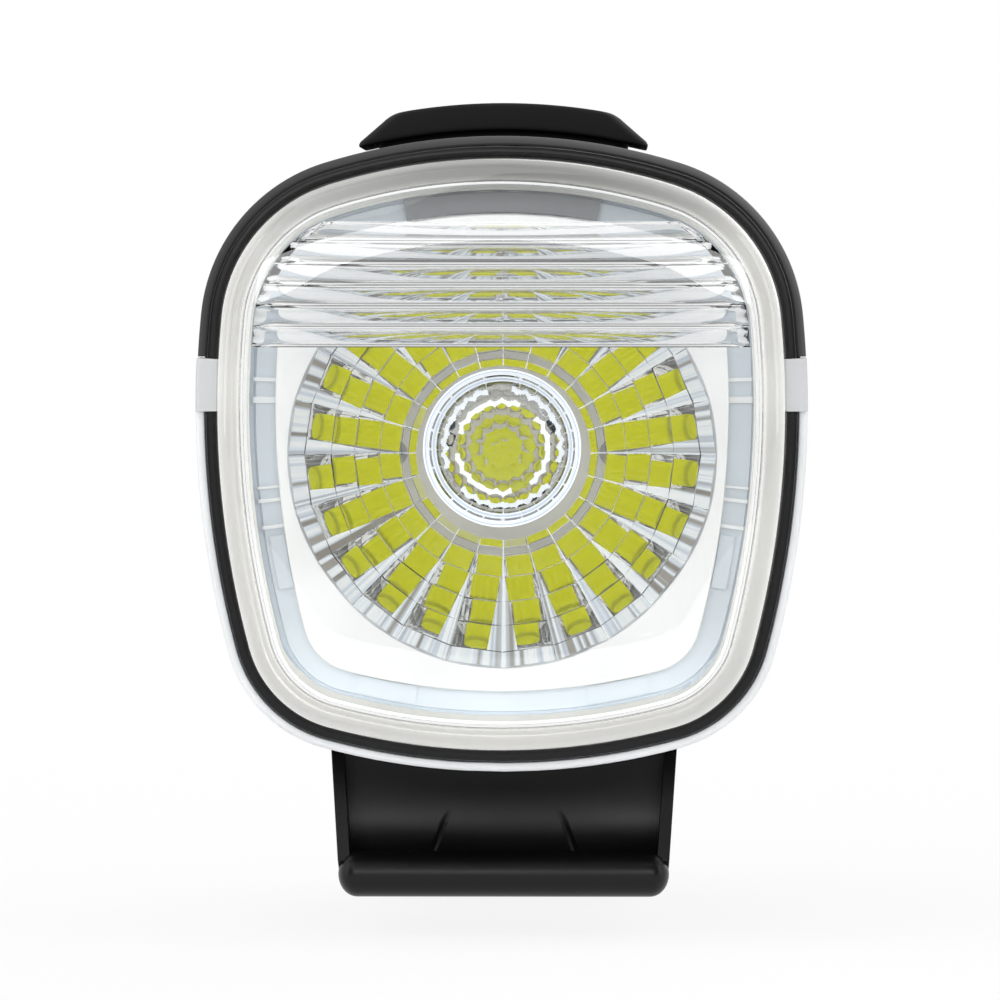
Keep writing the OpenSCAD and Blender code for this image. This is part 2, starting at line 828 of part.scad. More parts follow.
module battery_leads() {
    u_lead = u_stop + lead_r + 0.3;
    start_u = u_cell + cell_len - 0.4;
    color([0.7, 0.1, 0.1]) in_lamp() for (s = [-1, 1]) translate([s * lead_x, 0, 0]) {
        wire([[0, start_u, -cell_drop], [0, u_lead, -cell_drop], [0, u_lead, board_above_axis]], lead_r);
    }
}

module led_leads() {
    u_lead = u_led_board - 0.9;
    z_joint = led_board_r - 1.5;
    color([0.1, 0.1, 0.1]) in_lamp() for (s = [-1, 1]) translate([s * led_lead_x, 0, 0]) {
        wire([[0, u_led_board, z_joint], [0, u_lead, z_joint], [0, u_lead, board_above_axis]], led_lead_r);
    }
}

// Electronic components on the board: [sideways, depth behind the cell's front, width, length, height]
board_parts = [
    [-5, 8, 6, 6, 2.8], [5, 7, 4, 4, 1], [4, 15, 5, 5, 1.2], [-5, 18, 3, 5, 1.6], [0, 26, 8, 4, 1],
];

module main_board() {
    u_front = u_led_board - 1.6;
    color([0.05, 0.3, 0.16]) in_lamp() {
        block([-chassis_half_w, u_front, board_above_axis], [chassis_half_w, u_end - wall - 0.6, board_top]);
        for (p = board_parts) translate([p[0], u_cell + p[1], board_top]) {
            block([-p[2] / 2, 0, -0.1], [p[2] / 2, p[3], p[4]]);
        }
    }
}

module tact_switch() {
    half = switch_w / 2;
    well_bottom = switch_cap_bottom - button_travel - move_gap;
    color([0.15, 0.15, 0.16]) in_lamp() translate([0, switch_u, 0]) difference() {
        block([-half, -half, board_top], [half, half, board_top + switch_h]);
        translate([0, 0, well_bottom]) cylinder(r = switch_cap_r + run_gap, h = reach);
    }
}

module switch_cap() {
    color([0.8, 0.8, 0.8]) in_lamp() translate([0, switch_u, switch_cap_bottom]) {
        cylinder(r = switch_cap_r, h = switch_cap_top - switch_cap_bottom);
    }
}

module power_button() {
    foot_x = button_foot_w / 2;
    top_x = button_top_w / 2;
    foot_z = rim_top - 3;
    brow_z = rim_top + button_gap;
    crown_z = rim_top + button_rise;
    bevel = button_rise - button_gap;
    inside = wall + flange_gap;
    color(black_rubber) in_lamp() {
        intersection() {
            slab(button_front, button_end) rim_band(-button_rise, -button_gap);
            slab(button_front, button_end) polygon([
                [-foot_x, foot_z], [-foot_x, crown_z - foot_x + top_x], [-top_x, crown_z],
                [top_x, crown_z], [foot_x, crown_z - foot_x + top_x], [foot_x, foot_z],
            ]);
            across(-reach, reach) polygon([
                [button_front, foot_z], [button_front, brow_z], [button_front + bevel, crown_z],
                [button_end - bevel, crown_z], [button_end, brow_z], [button_end, foot_z],
            ]);
        }
        intersection() {
            slab(button_front, button_end) rim_band(-button_gap - 0.2, inside + 0.2);
            above(rim_top / 2) button_window(-move_gap);
        }
        intersection() {
            slab(button_front, button_end) rim_band(inside, inside + button_flange_t);
            block([-foot_x, button_front, rim_top / 2], [foot_x, button_end, rim_top]);
        }
    }
}

// The socket's mouth: a slot with round ends, in width and height
module slot_shape(w, h) {
    square([w - h, h], center = true);
    for (s = [-1, 1]) translate([s * (w - h) / 2, 0]) circle(d = h);
}

module usb_socket() {
    shell_t = 0.3;
    tongue = [6.6, 0.7];
    u_back = u_socket_mouth - socket_len;
    color(bare_metal) in_lamp() translate([0, 0, socket_mid]) {
        difference() {
            slab(u_back, u_socket_mouth) slot_shape(socket_w, socket_h);
            slab(u_back + 1, u_socket_mouth + 1) slot_shape(socket_w - 2 * shell_t, socket_h - 2 * shell_t);
        }
        slab(u_back + 0.5, u_socket_mouth - 0.8) square(tongue, center = true);
    }
}

module usb_cover() {
    u_inner = u_end + fit_gap;
    color(black_rubber) in_lamp() {
        block([-cover_half_w, u_inner, cover_low], [cover_half_w, u_inner + cover_t, cover_hinge_z]);
        translate([0, cover_hinge_u, cover_hinge_z]) {
            cross_rod(cover_bead_r, 2 * cover_half_w);
            cross_rod(trunnion_r, 2 * (lug_x + lug_t));
        }
        translate([0, u_inner + cover_t, cover_low + 0.8]) cross_rod(0.5, cover_half_w);
    }
}

module mount_shoe() {
    plate_half_w = shoe_flange_w / 2 + 1.5;
    flange_half_w = shoe_flange_w / 2;
    neck_half_w = shoe_neck_w / 2;
    z_flange = z_channel + fit_gap;
    z_plate = z_base_top + fit_gap;
    color(black_plastic) difference() {
        union() {
            block([-flange_half_w, shoe_front, z_flange],
                [flange_half_w, shoe_rear, z_flange + shoe_flange_t]);
            block([-neck_half_w, shoe_front, z_flange], [neck_half_w, shoe_rear, z_body_bottom]);
            block([-plate_half_w, shoe_front, z_plate], [plate_half_w, shoe_rear, z_body_bottom]);
        }
        for (y = shoe_screw_y) translate([0, y, 0]) {
            cylinder(r = shell_screw_r + screw_room, h = reach);
            translate([0, 0, z_flange - 1]) cylinder(r = head_r + screw_room, h = 1 + head_t + head_sink);
        }
    }
}

module shoe_screws() {
    z_seat = z_channel + fit_gap + head_t + head_sink;
    z_tip = z_body_bottom + wall + fit_gap;
    color(bare_metal) for (y = shoe_screw_y) translate([0, y, z_seat]) difference() {
        union() {
            translate([0, 0, -head_t]) cylinder(r = head_r, h = head_t);
            cylinder(r = shell_screw_r, h = z_tip - z_seat);
        }
        translate([0, 0, -head_t - 1]) cylinder(r = head_r / 2, h = 1 + head_t / 2);
    }
}

module bracket_base() {
    slot_half_w = strap_w / 2 + 0.5;
    channel_half_w = shoe_flange_w / 2 + fit_gap;
    neck_half_w = shoe_neck_w / 2 + fit_gap;
    channel_end = shoe_rear + fit_gap;
    color(black_plastic) difference() {
        union() {
            slab(base_front, base_rear) polygon([
                [-base_half_w, foot_above_bar], [-base_half_w, z_base_top - base_chamfer],
                [-base_half_w + base_chamfer, z_base_top], [base_half_w - base_chamfer, z_base_top],
                [base_half_w, z_base_top - base_chamfer], [base_half_w, foot_above_bar],
            ]);
            translate([0, -hinge_ahead, hinge_z]) {
                cross_rod(pin_boss_r, 2 * (cheek_low_x - cheek_t + cheek_flare / 2 - move_gap));
            }
        }
        cross_rod(saddle_r, reach);
        block([-slot_half_w, -reach, z_slot], [slot_half_w, reach, z_slot + strap_slot_h]);
        block([-channel_half_w, -reach, z_channel], [channel_half_w, channel_end, z_lip]);
        block([-neck_half_w, -reach, z_channel], [neck_half_w, channel_end, reach]);
        for (s = [-1, 1]) translate([s * spring_x, 0, spring_z]) {
            rod(pocket_r, base_front - 1, base_front + pocket_depth);
        }
        translate([0, -hinge_ahead, hinge_z]) difference() {
            cross_rod(pin_r + thread_gap, reach);
            cross_rod(pin_boss_r, 2 * (base_half_w - pin_seat));
        }
    }
}

module saddle_pad() {
    pad_half_len = base_half_w - 0.5;
    color(black_rubber) above(foot_above_bar + 0.2) difference() {
        cross_rod(saddle_r - lip_slack, 2 * pad_half_len);
        cross_rod(bar_r, reach);
    }
}

module lever_pins() {
    pin_from = base_half_w - pin_seat;
    pin_to = cheek_low_x + cheek_flare / 2;
    color(bare_metal) mirrored() translate([pin_from, -hinge_ahead, hinge_z]) {
        rotate([0, 90, 0]) cylinder(r = pin_r, h = pin_to - pin_from);
    }
}

// Front of the lever's plate: an arc that scoops back between its top and the bead
scoop_steps = 8;
scoop_depth = 0.9;
scoop_low = bead_height + bead_d * 0.35;
function scoop(part) = [
    lever_front + scoop_depth * sin(180 * part) - 1.6 * (1 - part) ^ 3,
    scoop_low + (lever_top - scoop_low) * part,
];

module lever_side() {
    polygon([
        [-hinge_ahead, hinge_z - eye_r], [lever_back + 1.5, bead_height + 3],
        [-bead_ahead, bead_height - bead_d * 0.3], [-bead_ahead - bead_d * 0.2, bead_height + bead_d * 0.3],
        [lever_front - 0.6, lever_top],
        [-hinge_ahead, hinge_z + eye_r],
    ]);
    translate([-hinge_ahead, hinge_z]) circle(r = eye_r);
}

module release_lever() {
    bead_r = bead_d / 2;
    plate_half_w = cheek_low_x - cheek_t / 2;
    tongue = [4.3, 5.35, 2.6];
    color(black_plastic) difference() {
        union() {
            intersection() {
                across(-reach, reach) lever_side();
                mirrored() slab(-bead_ahead - bead_d, -hinge_ahead + eye_r) polygon([
                    [cheek_low_x - cheek_t, bead_height - bead_d], [cheek_low_x, bead_height - bead_d],
                    [cheek_high_x, lever_top + 1], [cheek_high_x - cheek_t, lever_top + 1],
                ]);
            }
            across(-plate_half_w, plate_half_w) polygon(concat(
                [for (i = [0 : scoop_steps]) scoop(i / scoop_steps)],
                [[lever_back, lever_top], [lever_back, scoop_low + 2]],
                [[-bead_ahead + bead_r, bead_height - 0.4]]
            ));
            translate([0, -bead_ahead, bead_height]) {
                cross_rod(bead_r, bead_w - bead_d);
                for (s = [-1, 1]) translate([s * (bead_w - bead_d) / 2, 0, 0]) sphere(r = bead_r);
            }
            block([-tooth_half_w, lever_back - 0.5, z_channel - 0.4], [tooth_half_w, tooth_back, tooth_top]);
        }
        slab(-bead_ahead - bead_d, lever_front - 0.15) polygon([
            [-tongue[1], scoop_low + 0.9], [-tongue[0], scoop_low + 0.9 + tongue[2]],
            [tongue[0], scoop_low + 0.9 + tongue[2]], [tongue[1], scoop_low + 0.9],
        ]);
        translate([0, -hinge_ahead, hinge_z]) cross_rod(pin_r + run_gap, reach);
    }
}

// A lever spring: one unbroken wire from the pocket's floor to the plate's back
spring_from = base_front + pocket_depth - lip_slack;
spring_to = lever_back + lip_slack;
spring_mean_r = (spring_d - spring_wire) / 2;
spring_curl_rings = 8;
spring_rings = spring_turns * spring_curl_rings;
spring_path = concat(
    [[spring_mean_r, spring_from, 0]],
    [
        for (i = [0 : spring_rings])
            let (a = 360 * i / spring_curl_rings, part = i / spring_rings)
            [
                spring_mean_r * cos(a),
                spring_from - spring_wire + (spring_to - spring_from + 2 * spring_wire) * part,
                spring_mean_r * sin(a)
            ]
    ],
    [[spring_mean_r, spring_to, 0]]
);
spring_far_pairs = [
    for (i = [1 : len(spring_path) - 2], j = [i + spring_curl_rings / 2 : len(spring_path) - 2])
        norm(spring_path[i] - spring_path[j]) - spring_wire
];
echo(least_gap_between_spring_curls = min(spring_far_pairs));

module spring_coil() {
    sides = 6;
    last = len(spring_path) - 1;
    points = [
        for (i = [0 : last])
            let (
                p = spring_path[i],
                run = spring_path[min(i + 1, last)] - spring_path[max(i - 1, 0)],
                square_end = i == 0 || i == last,
                along = square_end ? [0, -1, 0] : run / norm(run),
                out = [p[0], 0, p[2]] / norm([p[0], 0, p[2]]),
                up = cross(along, out) / norm(cross(along, out))
            )
            for (k = [0 : sides - 1])
                let (a = 360 * k / sides)
                p + spring_wire / 2 * (cos(a) * out + sin(a) * up)
    ];
    tube = [
        for (i = [0 : last - 1], k = [0 : sides - 1])
            let (n = (k + 1) % sides, a = i * sides + k, b = i * sides + n)
            each [[a, b + sides, b], [a, a + sides, b + sides]]
    ];
    fan_start = [for (k = [1 : sides - 2]) [0, k, k + 1]];
    tip = last * sides;
    fan_end = [for (k = [1 : sides - 2]) [tip, tip + k + 1, tip + k]];
    polyhedron(points, concat(fan_start, tube, fan_end));
}

module lever_springs() {
    color(bare_metal) for (s = [-1, 1]) translate([s * spring_x, 0, spring_z]) spring_coil();
}

front_lens();
lens_gasket();
front_bezel();
side_light_guide();
reflector_plate();
collimator_lens();
led_emitter();
led_board();
led_screws();
heat_sink();
upper_shell();
lower_shell();
parting_seal();
shell_screws();
inner_chassis();
battery_cell();
battery_rests();
battery_end_pads();
battery_leads();
led_leads();
main_board();
tact_switch();
switch_cap();
power_button();
usb_socket();
usb_cover();
mount_shoe();
shoe_screws();
bracket_base();
saddle_pad();
release_lever();
lever_pins();
lever_springs();
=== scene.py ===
import math

import bmesh
import bpy
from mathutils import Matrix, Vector


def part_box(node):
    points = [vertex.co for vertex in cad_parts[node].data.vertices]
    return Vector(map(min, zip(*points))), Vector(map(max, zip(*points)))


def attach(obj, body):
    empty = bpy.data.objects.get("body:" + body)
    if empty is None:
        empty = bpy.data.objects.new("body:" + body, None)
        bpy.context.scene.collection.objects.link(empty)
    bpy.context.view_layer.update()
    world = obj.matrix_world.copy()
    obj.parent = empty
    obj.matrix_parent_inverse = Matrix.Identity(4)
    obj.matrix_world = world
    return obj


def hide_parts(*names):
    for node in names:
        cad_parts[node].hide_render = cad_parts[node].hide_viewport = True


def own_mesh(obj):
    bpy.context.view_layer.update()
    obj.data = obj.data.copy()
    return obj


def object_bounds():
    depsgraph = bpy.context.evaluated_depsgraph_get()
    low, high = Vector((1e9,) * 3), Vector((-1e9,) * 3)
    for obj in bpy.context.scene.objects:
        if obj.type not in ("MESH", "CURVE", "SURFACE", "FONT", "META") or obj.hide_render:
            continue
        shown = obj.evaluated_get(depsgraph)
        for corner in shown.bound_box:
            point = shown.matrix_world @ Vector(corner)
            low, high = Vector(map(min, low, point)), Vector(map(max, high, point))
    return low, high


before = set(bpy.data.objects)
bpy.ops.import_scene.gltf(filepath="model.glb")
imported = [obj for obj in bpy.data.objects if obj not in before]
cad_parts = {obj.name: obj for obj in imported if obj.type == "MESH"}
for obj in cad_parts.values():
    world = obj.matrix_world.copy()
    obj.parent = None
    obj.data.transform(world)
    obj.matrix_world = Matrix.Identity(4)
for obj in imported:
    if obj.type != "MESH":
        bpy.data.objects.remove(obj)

cad_low, cad_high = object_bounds()

# Sizes are in millimetres. A lamp point is (x, u, h): u runs back from the bezel's face, h up from the axis.
MM = 0.001
scene = bpy.context.scene
optic_low, optic_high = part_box("collimator_lens")
AXIS_Z = (optic_low.z + optic_high.z) / 2 / MM
FACE_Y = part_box("front_bezel")[0].y / MM

# Outline of the rim: five arcs a side, each centre, radius and angles from the top
HALF_W, WIDEST_H = 22.95, 3.65
SIDE_R, SHOULDER_R, CORNER_R = 71.4, 13.2, 10.1
SIDE_UP, SIDE_DOWN = 6.97, 18.48
TOP_END, BOTTOM_START = 17.2, 164.9


def polar(centre, r, angle):
    a = math.radians(angle)
    return centre[0] + r * math.sin(a), centre[1] + r * math.cos(a)


def rim_arcs():
    side_c = (HALF_W - SIDE_R, WIDEST_H)
    side_start = math.degrees(math.acos(SIDE_UP / SIDE_R))
    side_end = math.degrees(math.acos(-SIDE_DOWN / SIDE_R))
    shoulder_c = polar(side_c, SIDE_R - SHOULDER_R, side_start)
    corner_c = polar(side_c, SIDE_R - CORNER_R, side_end)
    top_r = SHOULDER_R + shoulder_c[0] / math.sin(math.radians(TOP_END))
    bottom_r = CORNER_R + corner_c[0] / math.sin(math.radians(BOTTOM_START))
    return [
        (polar(shoulder_c, SHOULDER_R - top_r, TOP_END), top_r, 0, TOP_END),
        (shoulder_c, SHOULDER_R, TOP_END, side_start),
        (side_c, SIDE_R, side_start, side_end),
        (corner_c, CORNER_R, side_end, BOTTOM_START),
        (polar(corner_c, CORNER_R - bottom_r, BOTTOM_START), bottom_r, BOTTOM_START, 180),
    ]


ARCS = rim_arcs()
ARC_STEPS = (10, 22, 22, 20, 10)


def lamp(x, u, h):
    return Vector((x, FACE_Y + u, AXIS_Z + h)) * MM


def marks_by_angle():
    """Marks down the right side, top to bottom: a mark is an arc's centre, radius and an angle."""
    marks = []
    for (c, r, start, end), steps in zip(ARCS, ARC_STEPS):
        marks += [(c, r, start + (end - start) * i / steps) for i in range(steps)]
    return marks + [(ARCS[-1][0], ARCS[-1][1], 180)]


def mark_at(h, inset):
    """The mark on the right side whose point at this inset is h above the axis."""
    for c, r, start, end in ARCS:
        level = max(-1, min(1, (h - c[1]) / (r - inset)))
        angle = math.degrees(math.acos(level))
        if start - 0.01 <= angle <= end + 0.01 and abs(c[1] + (r - inset) * level - h) < 0.01:
            return c, r, angle
    return None


def mirrored(marks):
    """Right side marks carried on round the left side, each with the sign of its x."""
    return [(m, 1) for m in marks] + [(m, -1) for m in marks[-2:0:-1]]


def rim_point(mark, inset, u):
    (c, r, angle), side = mark
    x, h = polar(c, r - inset, angle)
    return lamp(side * x, u, h)


def marks_between(h_top, h_low, side, steps=24):
    """Marks down one side between two heights on the rim."""
    inner = [m for m in marks_by_angle() if h_low + 0.05 < polar(*m)[1] < h_top - 0.05]
    return [(m, side) for m in [mark_at(h_top, 0)] + inner + [mark_at(h_low, 0)]]


def skin(bm, rows, wrap):
    """Faces between neighbouring rows of vertices; wrap closes each row on itself."""
    for a, b in zip(rows, rows[1:]):
        for i in range(len(a) if wrap else len(a) - 1):
            j = (i + 1) % len(a)
            corners = list(dict.fromkeys((a[i], a[j], b[j], b[i])))
            if len(corners) > 2:
                bm.faces.new(corners)


def rows_of(bm, rows):
    return [[bm.verts.new(p) for p in row] for row in rows]


def loft(bm, loops):
    rows = rows_of(bm, loops)
    skin(bm, rows, True)
    bm.faces.new(rows[0])
    bm.faces.new(rows[-1])
    return rows


def sweep(bm, marks, profile, closed):
    """A profile of (inset, depth) points carried along the rim."""
    rows = rows_of(bm, [[rim_point(m, o, u) for o, u in profile] for m in marks])
    skin(bm, rows + rows[:1] if closed else rows, True)
    if not closed:
        bm.faces.new(rows[0])
        bm.faces.new(rows[-1])


def circle(bm, r, u, count, centre=(0, 0)):
    """A ring of vertices about the lamp's axis, or one shared vertex where r is nothing."""
    if r == 0:
        return [bm.verts.new(lamp(centre[0], u, centre[1]))] * count
    points = [polar(centre, r, 360 * i / count) for i in range(count)]
    return [bm.verts.new(lamp(x, u, h)) for x, h in points]


def piece(name, bm, materials, body, nodes=(), sharp=32, flat=()):
    for face in bm.faces:
        face.smooth = True
    bmesh.ops.recalc_face_normals(bm, faces=bm.faces[:])
    bm.faces.index_update()
    flat = [face.index for face in flat]
    mesh = bpy.data.meshes.new(name)
    bm.to_mesh(mesh)
    bm.free()
    for material in materials if isinstance(materials, tuple) else (materials,):
        mesh.materials.append(material)
    mesh.set_sharp_from_angle(angle=math.radians(sharp))
    for n in flat:
        mesh.polygons[n].use_smooth = False
    obj = bpy.data.objects.new(name, mesh)
    scene.collection.objects.link(obj)
    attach(obj, body)
    if nodes:
        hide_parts(*nodes)
    return obj


def carve(bm, *tools):
    """What is left of a closed mesh after closed tools are cut from it."""
    for tool in tools:
        pair = []
        for each in (bm, tool):
            bmesh.ops.recalc_face_normals(each, faces=each.faces[:])
            mesh = bpy.data.meshes.new("cut")
            each.to_mesh(mesh)
            each.free()
            obj = bpy.data.objects.new("cut", mesh)
            scene.collection.objects.link(obj)
            pair.append(obj)
        step = pair[0].modifiers.new("cut", "BOOLEAN")
        step.object, step.operation, step.solver = pair[1], "DIFFERENCE", "MANIFOLD"
        done = pair[0].evaluated_get(bpy.context.evaluated_depsgraph_get())
        bm = bmesh.new()
        bm.from_mesh(done.to_mesh())
        done.to_mesh_clear()
        for obj in pair:
            mesh = obj.data
            bpy.data.objects.remove(obj)
            bpy.data.meshes.remove(mesh)
    return bm


def block(low, high):
    bm = bmesh.new()
    loft(bm, [[lamp(x, u, h) for x, u in ((low[0], low[1]), (high[0], low[1]), (high[0], high[1]),
                                         (low[0], high[1]))] for h in (low[2], high[2])])
    return bm


def upright(bm, x, u, profile, count=32):
    """A turned form on an upright axis: profile of (radius, height), closed on itself."""
    rows = rows_of(bm, [[lamp(*polar((x, u), r, 360 * i / count), h) for i in range(count)]
                        for r, h in profile])
    skin(bm, rows + rows[:1], True)


def pin(x, u, r, low, high):
    bm = bmesh.new()
    loft(bm, [[lamp(*polar((x, u), r, 11.25 * i), h) for i in range(32)] for h in (low, high)])
    return bm


def soften(obj, width, angle=40):
    bevel = obj.modifiers.new("edge_radius", "BEVEL")
    bevel.width = width * MM
    bevel.segments = 2
    bevel.limit_method = "ANGLE"
    bevel.angle_limit = math.radians(angle)
    bevel.harden_normals = True


# Materials


def linear(code):
    """sRGB hex code to linear colour."""
    parts = [int(code[i:i + 2], 16) / 255 for i in (0, 2, 4)]
    return [p / 12.92 if p <= 0.04045 else ((p + 0.055) / 1.055) ** 2.4 for p in parts] + [1]


def add(tree, kind, links=None, **settings):
    """One node: settings by name, sockets given a value or another node's output."""
    made = tree.nodes.new(kind)
    for key, value in settings.items():
        setattr(made, key, value)
    for key, value in (links or {}).items():
        if isinstance(value, bpy.types.NodeSocket):
            tree.links.new(value, made.inputs[key])
        else:
            made.inputs[key].default_value = value
    return made


def start(name):
    material = bpy.data.materials.new(name)
    material.use_nodes = True
    tree = material.node_tree
    tree.nodes.clear()
    return material, tree


def moulded(name, code, rough, grain, relief, gloss=0.5, sheen=0.06, **sockets):
    """Solid plastic, rubber or metal: a fine grain in relief and a slow drift of tone and gloss."""
    material, tree = start(name)
    place = add(tree, "ShaderNodeTexCoord").outputs["Object"]
    fine = add(tree, "ShaderNodeTexNoise", {"Vector": place, "Scale": 1 / (grain * MM), "Detail": 2.0})
    slow = add(tree, "ShaderNodeTexNoise", {"Vector": place, "Scale": 1 / (9 * MM), "Detail": 1.0})
    bump = add(tree, "ShaderNodeBump",
               {"Height": fine.outputs["Fac"], "Distance": relief * MM, "Strength": 1.0})
    colour = linear(code)
    tone = add(tree, "ShaderNodeMix", {
        "Factor": slow.outputs["Fac"],
        6: [c * 0.88 for c in colour[:3]] + [1],
        7: [min(1, c * 1.1) for c in colour[:3]] + [1],
    }, data_type="RGBA")
    level = add(tree, "ShaderNodeMapRange", {
        "Value": slow.outputs["Fac"], "To Min": rough - sheen, "To Max": rough + sheen})
    shader = add(tree, "ShaderNodeBsdfPrincipled", {
        "Base Color": tone.outputs[2], "Roughness": level.outputs["Result"],
        "Normal": bump.outputs["Normal"], "Specular IOR Level": gloss, **sockets})
    add(tree, "ShaderNodeOutputMaterial", {"Surface": shader.outputs["BSDF"]})
    return material


def paint_light_and_shade_by_height(material, low, high, share):
    """Painted light and shade: scales a moulding's colour and glow to a share of themselves between two heights over
    the bar, in mm; a share under one paints shade above, a share over one paints light above.
    """
    tree = material.node_tree
    shader = tree.nodes["Principled BSDF"]
    place = add(tree, "ShaderNodeTexCoord").outputs["Object"]
    height = add(tree, "ShaderNodeSeparateXYZ", {"Vector": place}).outputs["Z"]
    spans = {"Value": height, "From Min": low * MM, "From Max": high * MM}
    for socket in ("Base Color", "Emission Color"):
        given = shader.inputs[socket]
        full = given.links[0].from_socket if given.links else list(given.default_value)
        level = add(tree, "ShaderNodeMapRange", {**spans, "To Min": 1.0, "To Max": share})
        dimmed = add(tree, "ShaderNodeMix", {"Factor": 1.0, 6: full, 7: level.outputs["Result"]},
                     data_type="RGBA", blend_type="MULTIPLY")
        tree.links.new(dimmed.outputs[2], given)


def painted_reflection_streaks(material, turns, stops):
    """Paints reflection into a moulding's colour and glow as streaky rays round the lamp's axis, from stops of place
    and colour.
    """
    tree = material.node_tree
    place = add(tree, "ShaderNodeTexCoord").outputs["Object"]
    off = add(tree, "ShaderNodeSeparateXYZ", {"Vector": place})
    height = add(tree, "ShaderNodeMath", {0: off.outputs["Z"], 1: AXIS_Z * MM}, operation="SUBTRACT")
    round_axis = add(tree, "ShaderNodeCombineXYZ", {"X": height.outputs[0], "Y": off.outputs["X"]})
    turn = add(tree, "ShaderNodeTexGradient", {"Vector": round_axis.outputs["Vector"]}, gradient_type="RADIAL")
    streak = add(tree, "ShaderNodeTexNoise", {"W": turn.outputs["Fac"], "Scale": turns, "Detail": 2.0},
                 noise_dimensions="1D")
    ramp = add(tree, "ShaderNodeValToRGB", {"Fac": streak.outputs["Fac"]})
    marks = ramp.color_ramp.elements
    while len(marks) < len(stops):
        marks.new(1)
    for mark, (at, code) in zip(marks, stops):
        mark.position, mark.color = at, linear(code)
    for socket in ("Base Color", "Emission Color"):
        tree.links.new(ramp.outputs["Color"], tree.nodes["Principled BSDF"].inputs[socket])


def clear(name, code, ior, rough):
    """Clear moulding that bends what is behind it and lets the lamps through to what it covers."""
    material, tree = start(name)
    glass = add(tree, "ShaderNodeBsdfPrincipled", {
        "Base Color": linear(code), "Roughness": rough, "IOR": ior, "Transmission Weight": 1.0})
    gap = add(tree, "ShaderNodeBsdfTransparent", {"Color": linear(code)})
    path = add(tree, "ShaderNodeLightPath")
    both = add(tree, "ShaderNodeMixShader",
               {0: path.outputs["Is Shadow Ray"], 1: glass.outputs["BSDF"], 2: gap.outputs["BSDF"]})
    add(tree, "ShaderNodeOutputMaterial", {"Surface": both.outputs["Shader"]})
    return material


# Spark-eroded mould texture: deep black, broken by a grain finer than the eye counts
BLACK_ABS = moulded("black_abs_spark_eroded", "121213", 0.52, 0.14, 0.006, 0.3)
# Polished-tool black: the same resin, with tighter and darker reflections round the lens
BLACK_GLOSS = moulded("black_pc_polished_tool", "0d0d0e", 0.33, 0.5, 0.001, 0.3)
# Glass-filled nylon: satin with a faint cloud of fibres near the skin
BLACK_NYLON = moulded("black_nylon_glass_filled", "0d0d0e", 0.34, 0.22, 0.004, 0.27)
# Compression-moulded silicone: soft and dry, no crisp reflections
BLACK_SILICONE = moulded("black_silicone_moulded", "0e0e0f", 0.66, 0.1, 0.004, 0.16)
# Clear polycarbonate from a polished tool: bends the view behind it and glints on its edges
CLEAR_LENS = clear("clear_polycarbonate_polished", "fbfcfc", 1.585, 0.0)
# Flutes of the same lens: twice as thick, so a little of the light is lost and the view through them is greyer
CLEAR_FLUTES = clear("clear_polycarbonate_fluted", "ebedf0", 1.585, 0.0)
# Diamond-turned clear optic: each facet mirrors the emitter by total reflection
CLEAR_OPTIC = clear("clear_optic_diamond_turned", "fdfdfa", 1.58, 0.0)
# Frosted polycarbonate light guide: milky, with light carried a little way under the skin
FROSTED = moulded("frosted_pc_light_guide", "e9ebed", 0.5, 0.3, 0.003, 0.5, **{
    "Subsurface Weight": 0.25, "Subsurface Radius": (1.0, 1.1, 1.2), "Subsurface Scale": 0.0008})
# The guide's ring behind the lens: cool, with painted shade that darkens it towards the top, so it is palest at the
# foot
FROSTED_RING = moulded("frosted_pc_ring", "e4edf6", 0.42, 0.3, 0.003, 0.5)
paint_light_and_shade_by_height(FROSTED_RING, AXIS_Z - 18, AXIS_Z - 12, 0.77)
# The guide's seat under the lens wall: warm and darker at the foot, with painted light that brightens it above
FROSTED_SEAT = moulded("frosted_pc_lens_seat", "d6d5d1", 0.5, 0.3, 0.003, 0.5)
paint_light_and_shade_by_height(FROSTED_SEAT, AXIS_Z - 17, AXIS_Z - 10, 1.35)
# The guide's end blocks: the same resin, with painted shade that makes them a shade greyer
FROSTED_BLOCK_PAINTED_SHADE = moulded("frosted_pc_end_block_painted_shade", "cccdcf", 0.5, 0.3, 0.003, 0.5)
# White diffusing polycarbonate: even and matte, so the optic stands out on it
WHITE_PLATE = moulded("white_pc_matt", "f6f6f5", 0.6, 0.25, 0.002)
# Blasted wall of the same lens: creamy and blind, it hides the joint behind the rim; a painted glow brightens it, and
# painted shade darkens it towards the top, where the dark shell lies behind it
LENS_WALL_PAINTED_GLOW = moulded("clear_polycarbonate_blasted_wall_painted_glow", "eeedea", 0.6, 0.2, 0.004, **{
    "Emission Color": linear("efeeea"), "Emission Strength": 0.42})
paint_light_and_shade_by_height(LENS_WALL_PAINTED_GLOW, AXIS_Z + 15, AXIS_Z + 22, 0.2)
# Blasted wall of the optic's well: a bright ring round the dome, lit by a painted glow
WELL_WALL_PAINTED_GLOW = moulded("clear_optic_blasted_wall_painted_glow", "f2f5fa", 0.35, 0.25, 0.006, 0.6, **{
    "Emission Color": linear("eef3fb"), "Emission Strength": 0.42})
# Blasted ledges between the well's steps: cooler, with a weaker painted glow, so the steps read as rings
WELL_LEDGE_PAINTED_GLOW = moulded("clear_optic_blasted_ledge_painted_glow", "ccd6e6", 0.3, 0.25, 0.006, 0.6, **{
    "Emission Color": linear("c4d2e8"), "Emission Strength": 0.3})
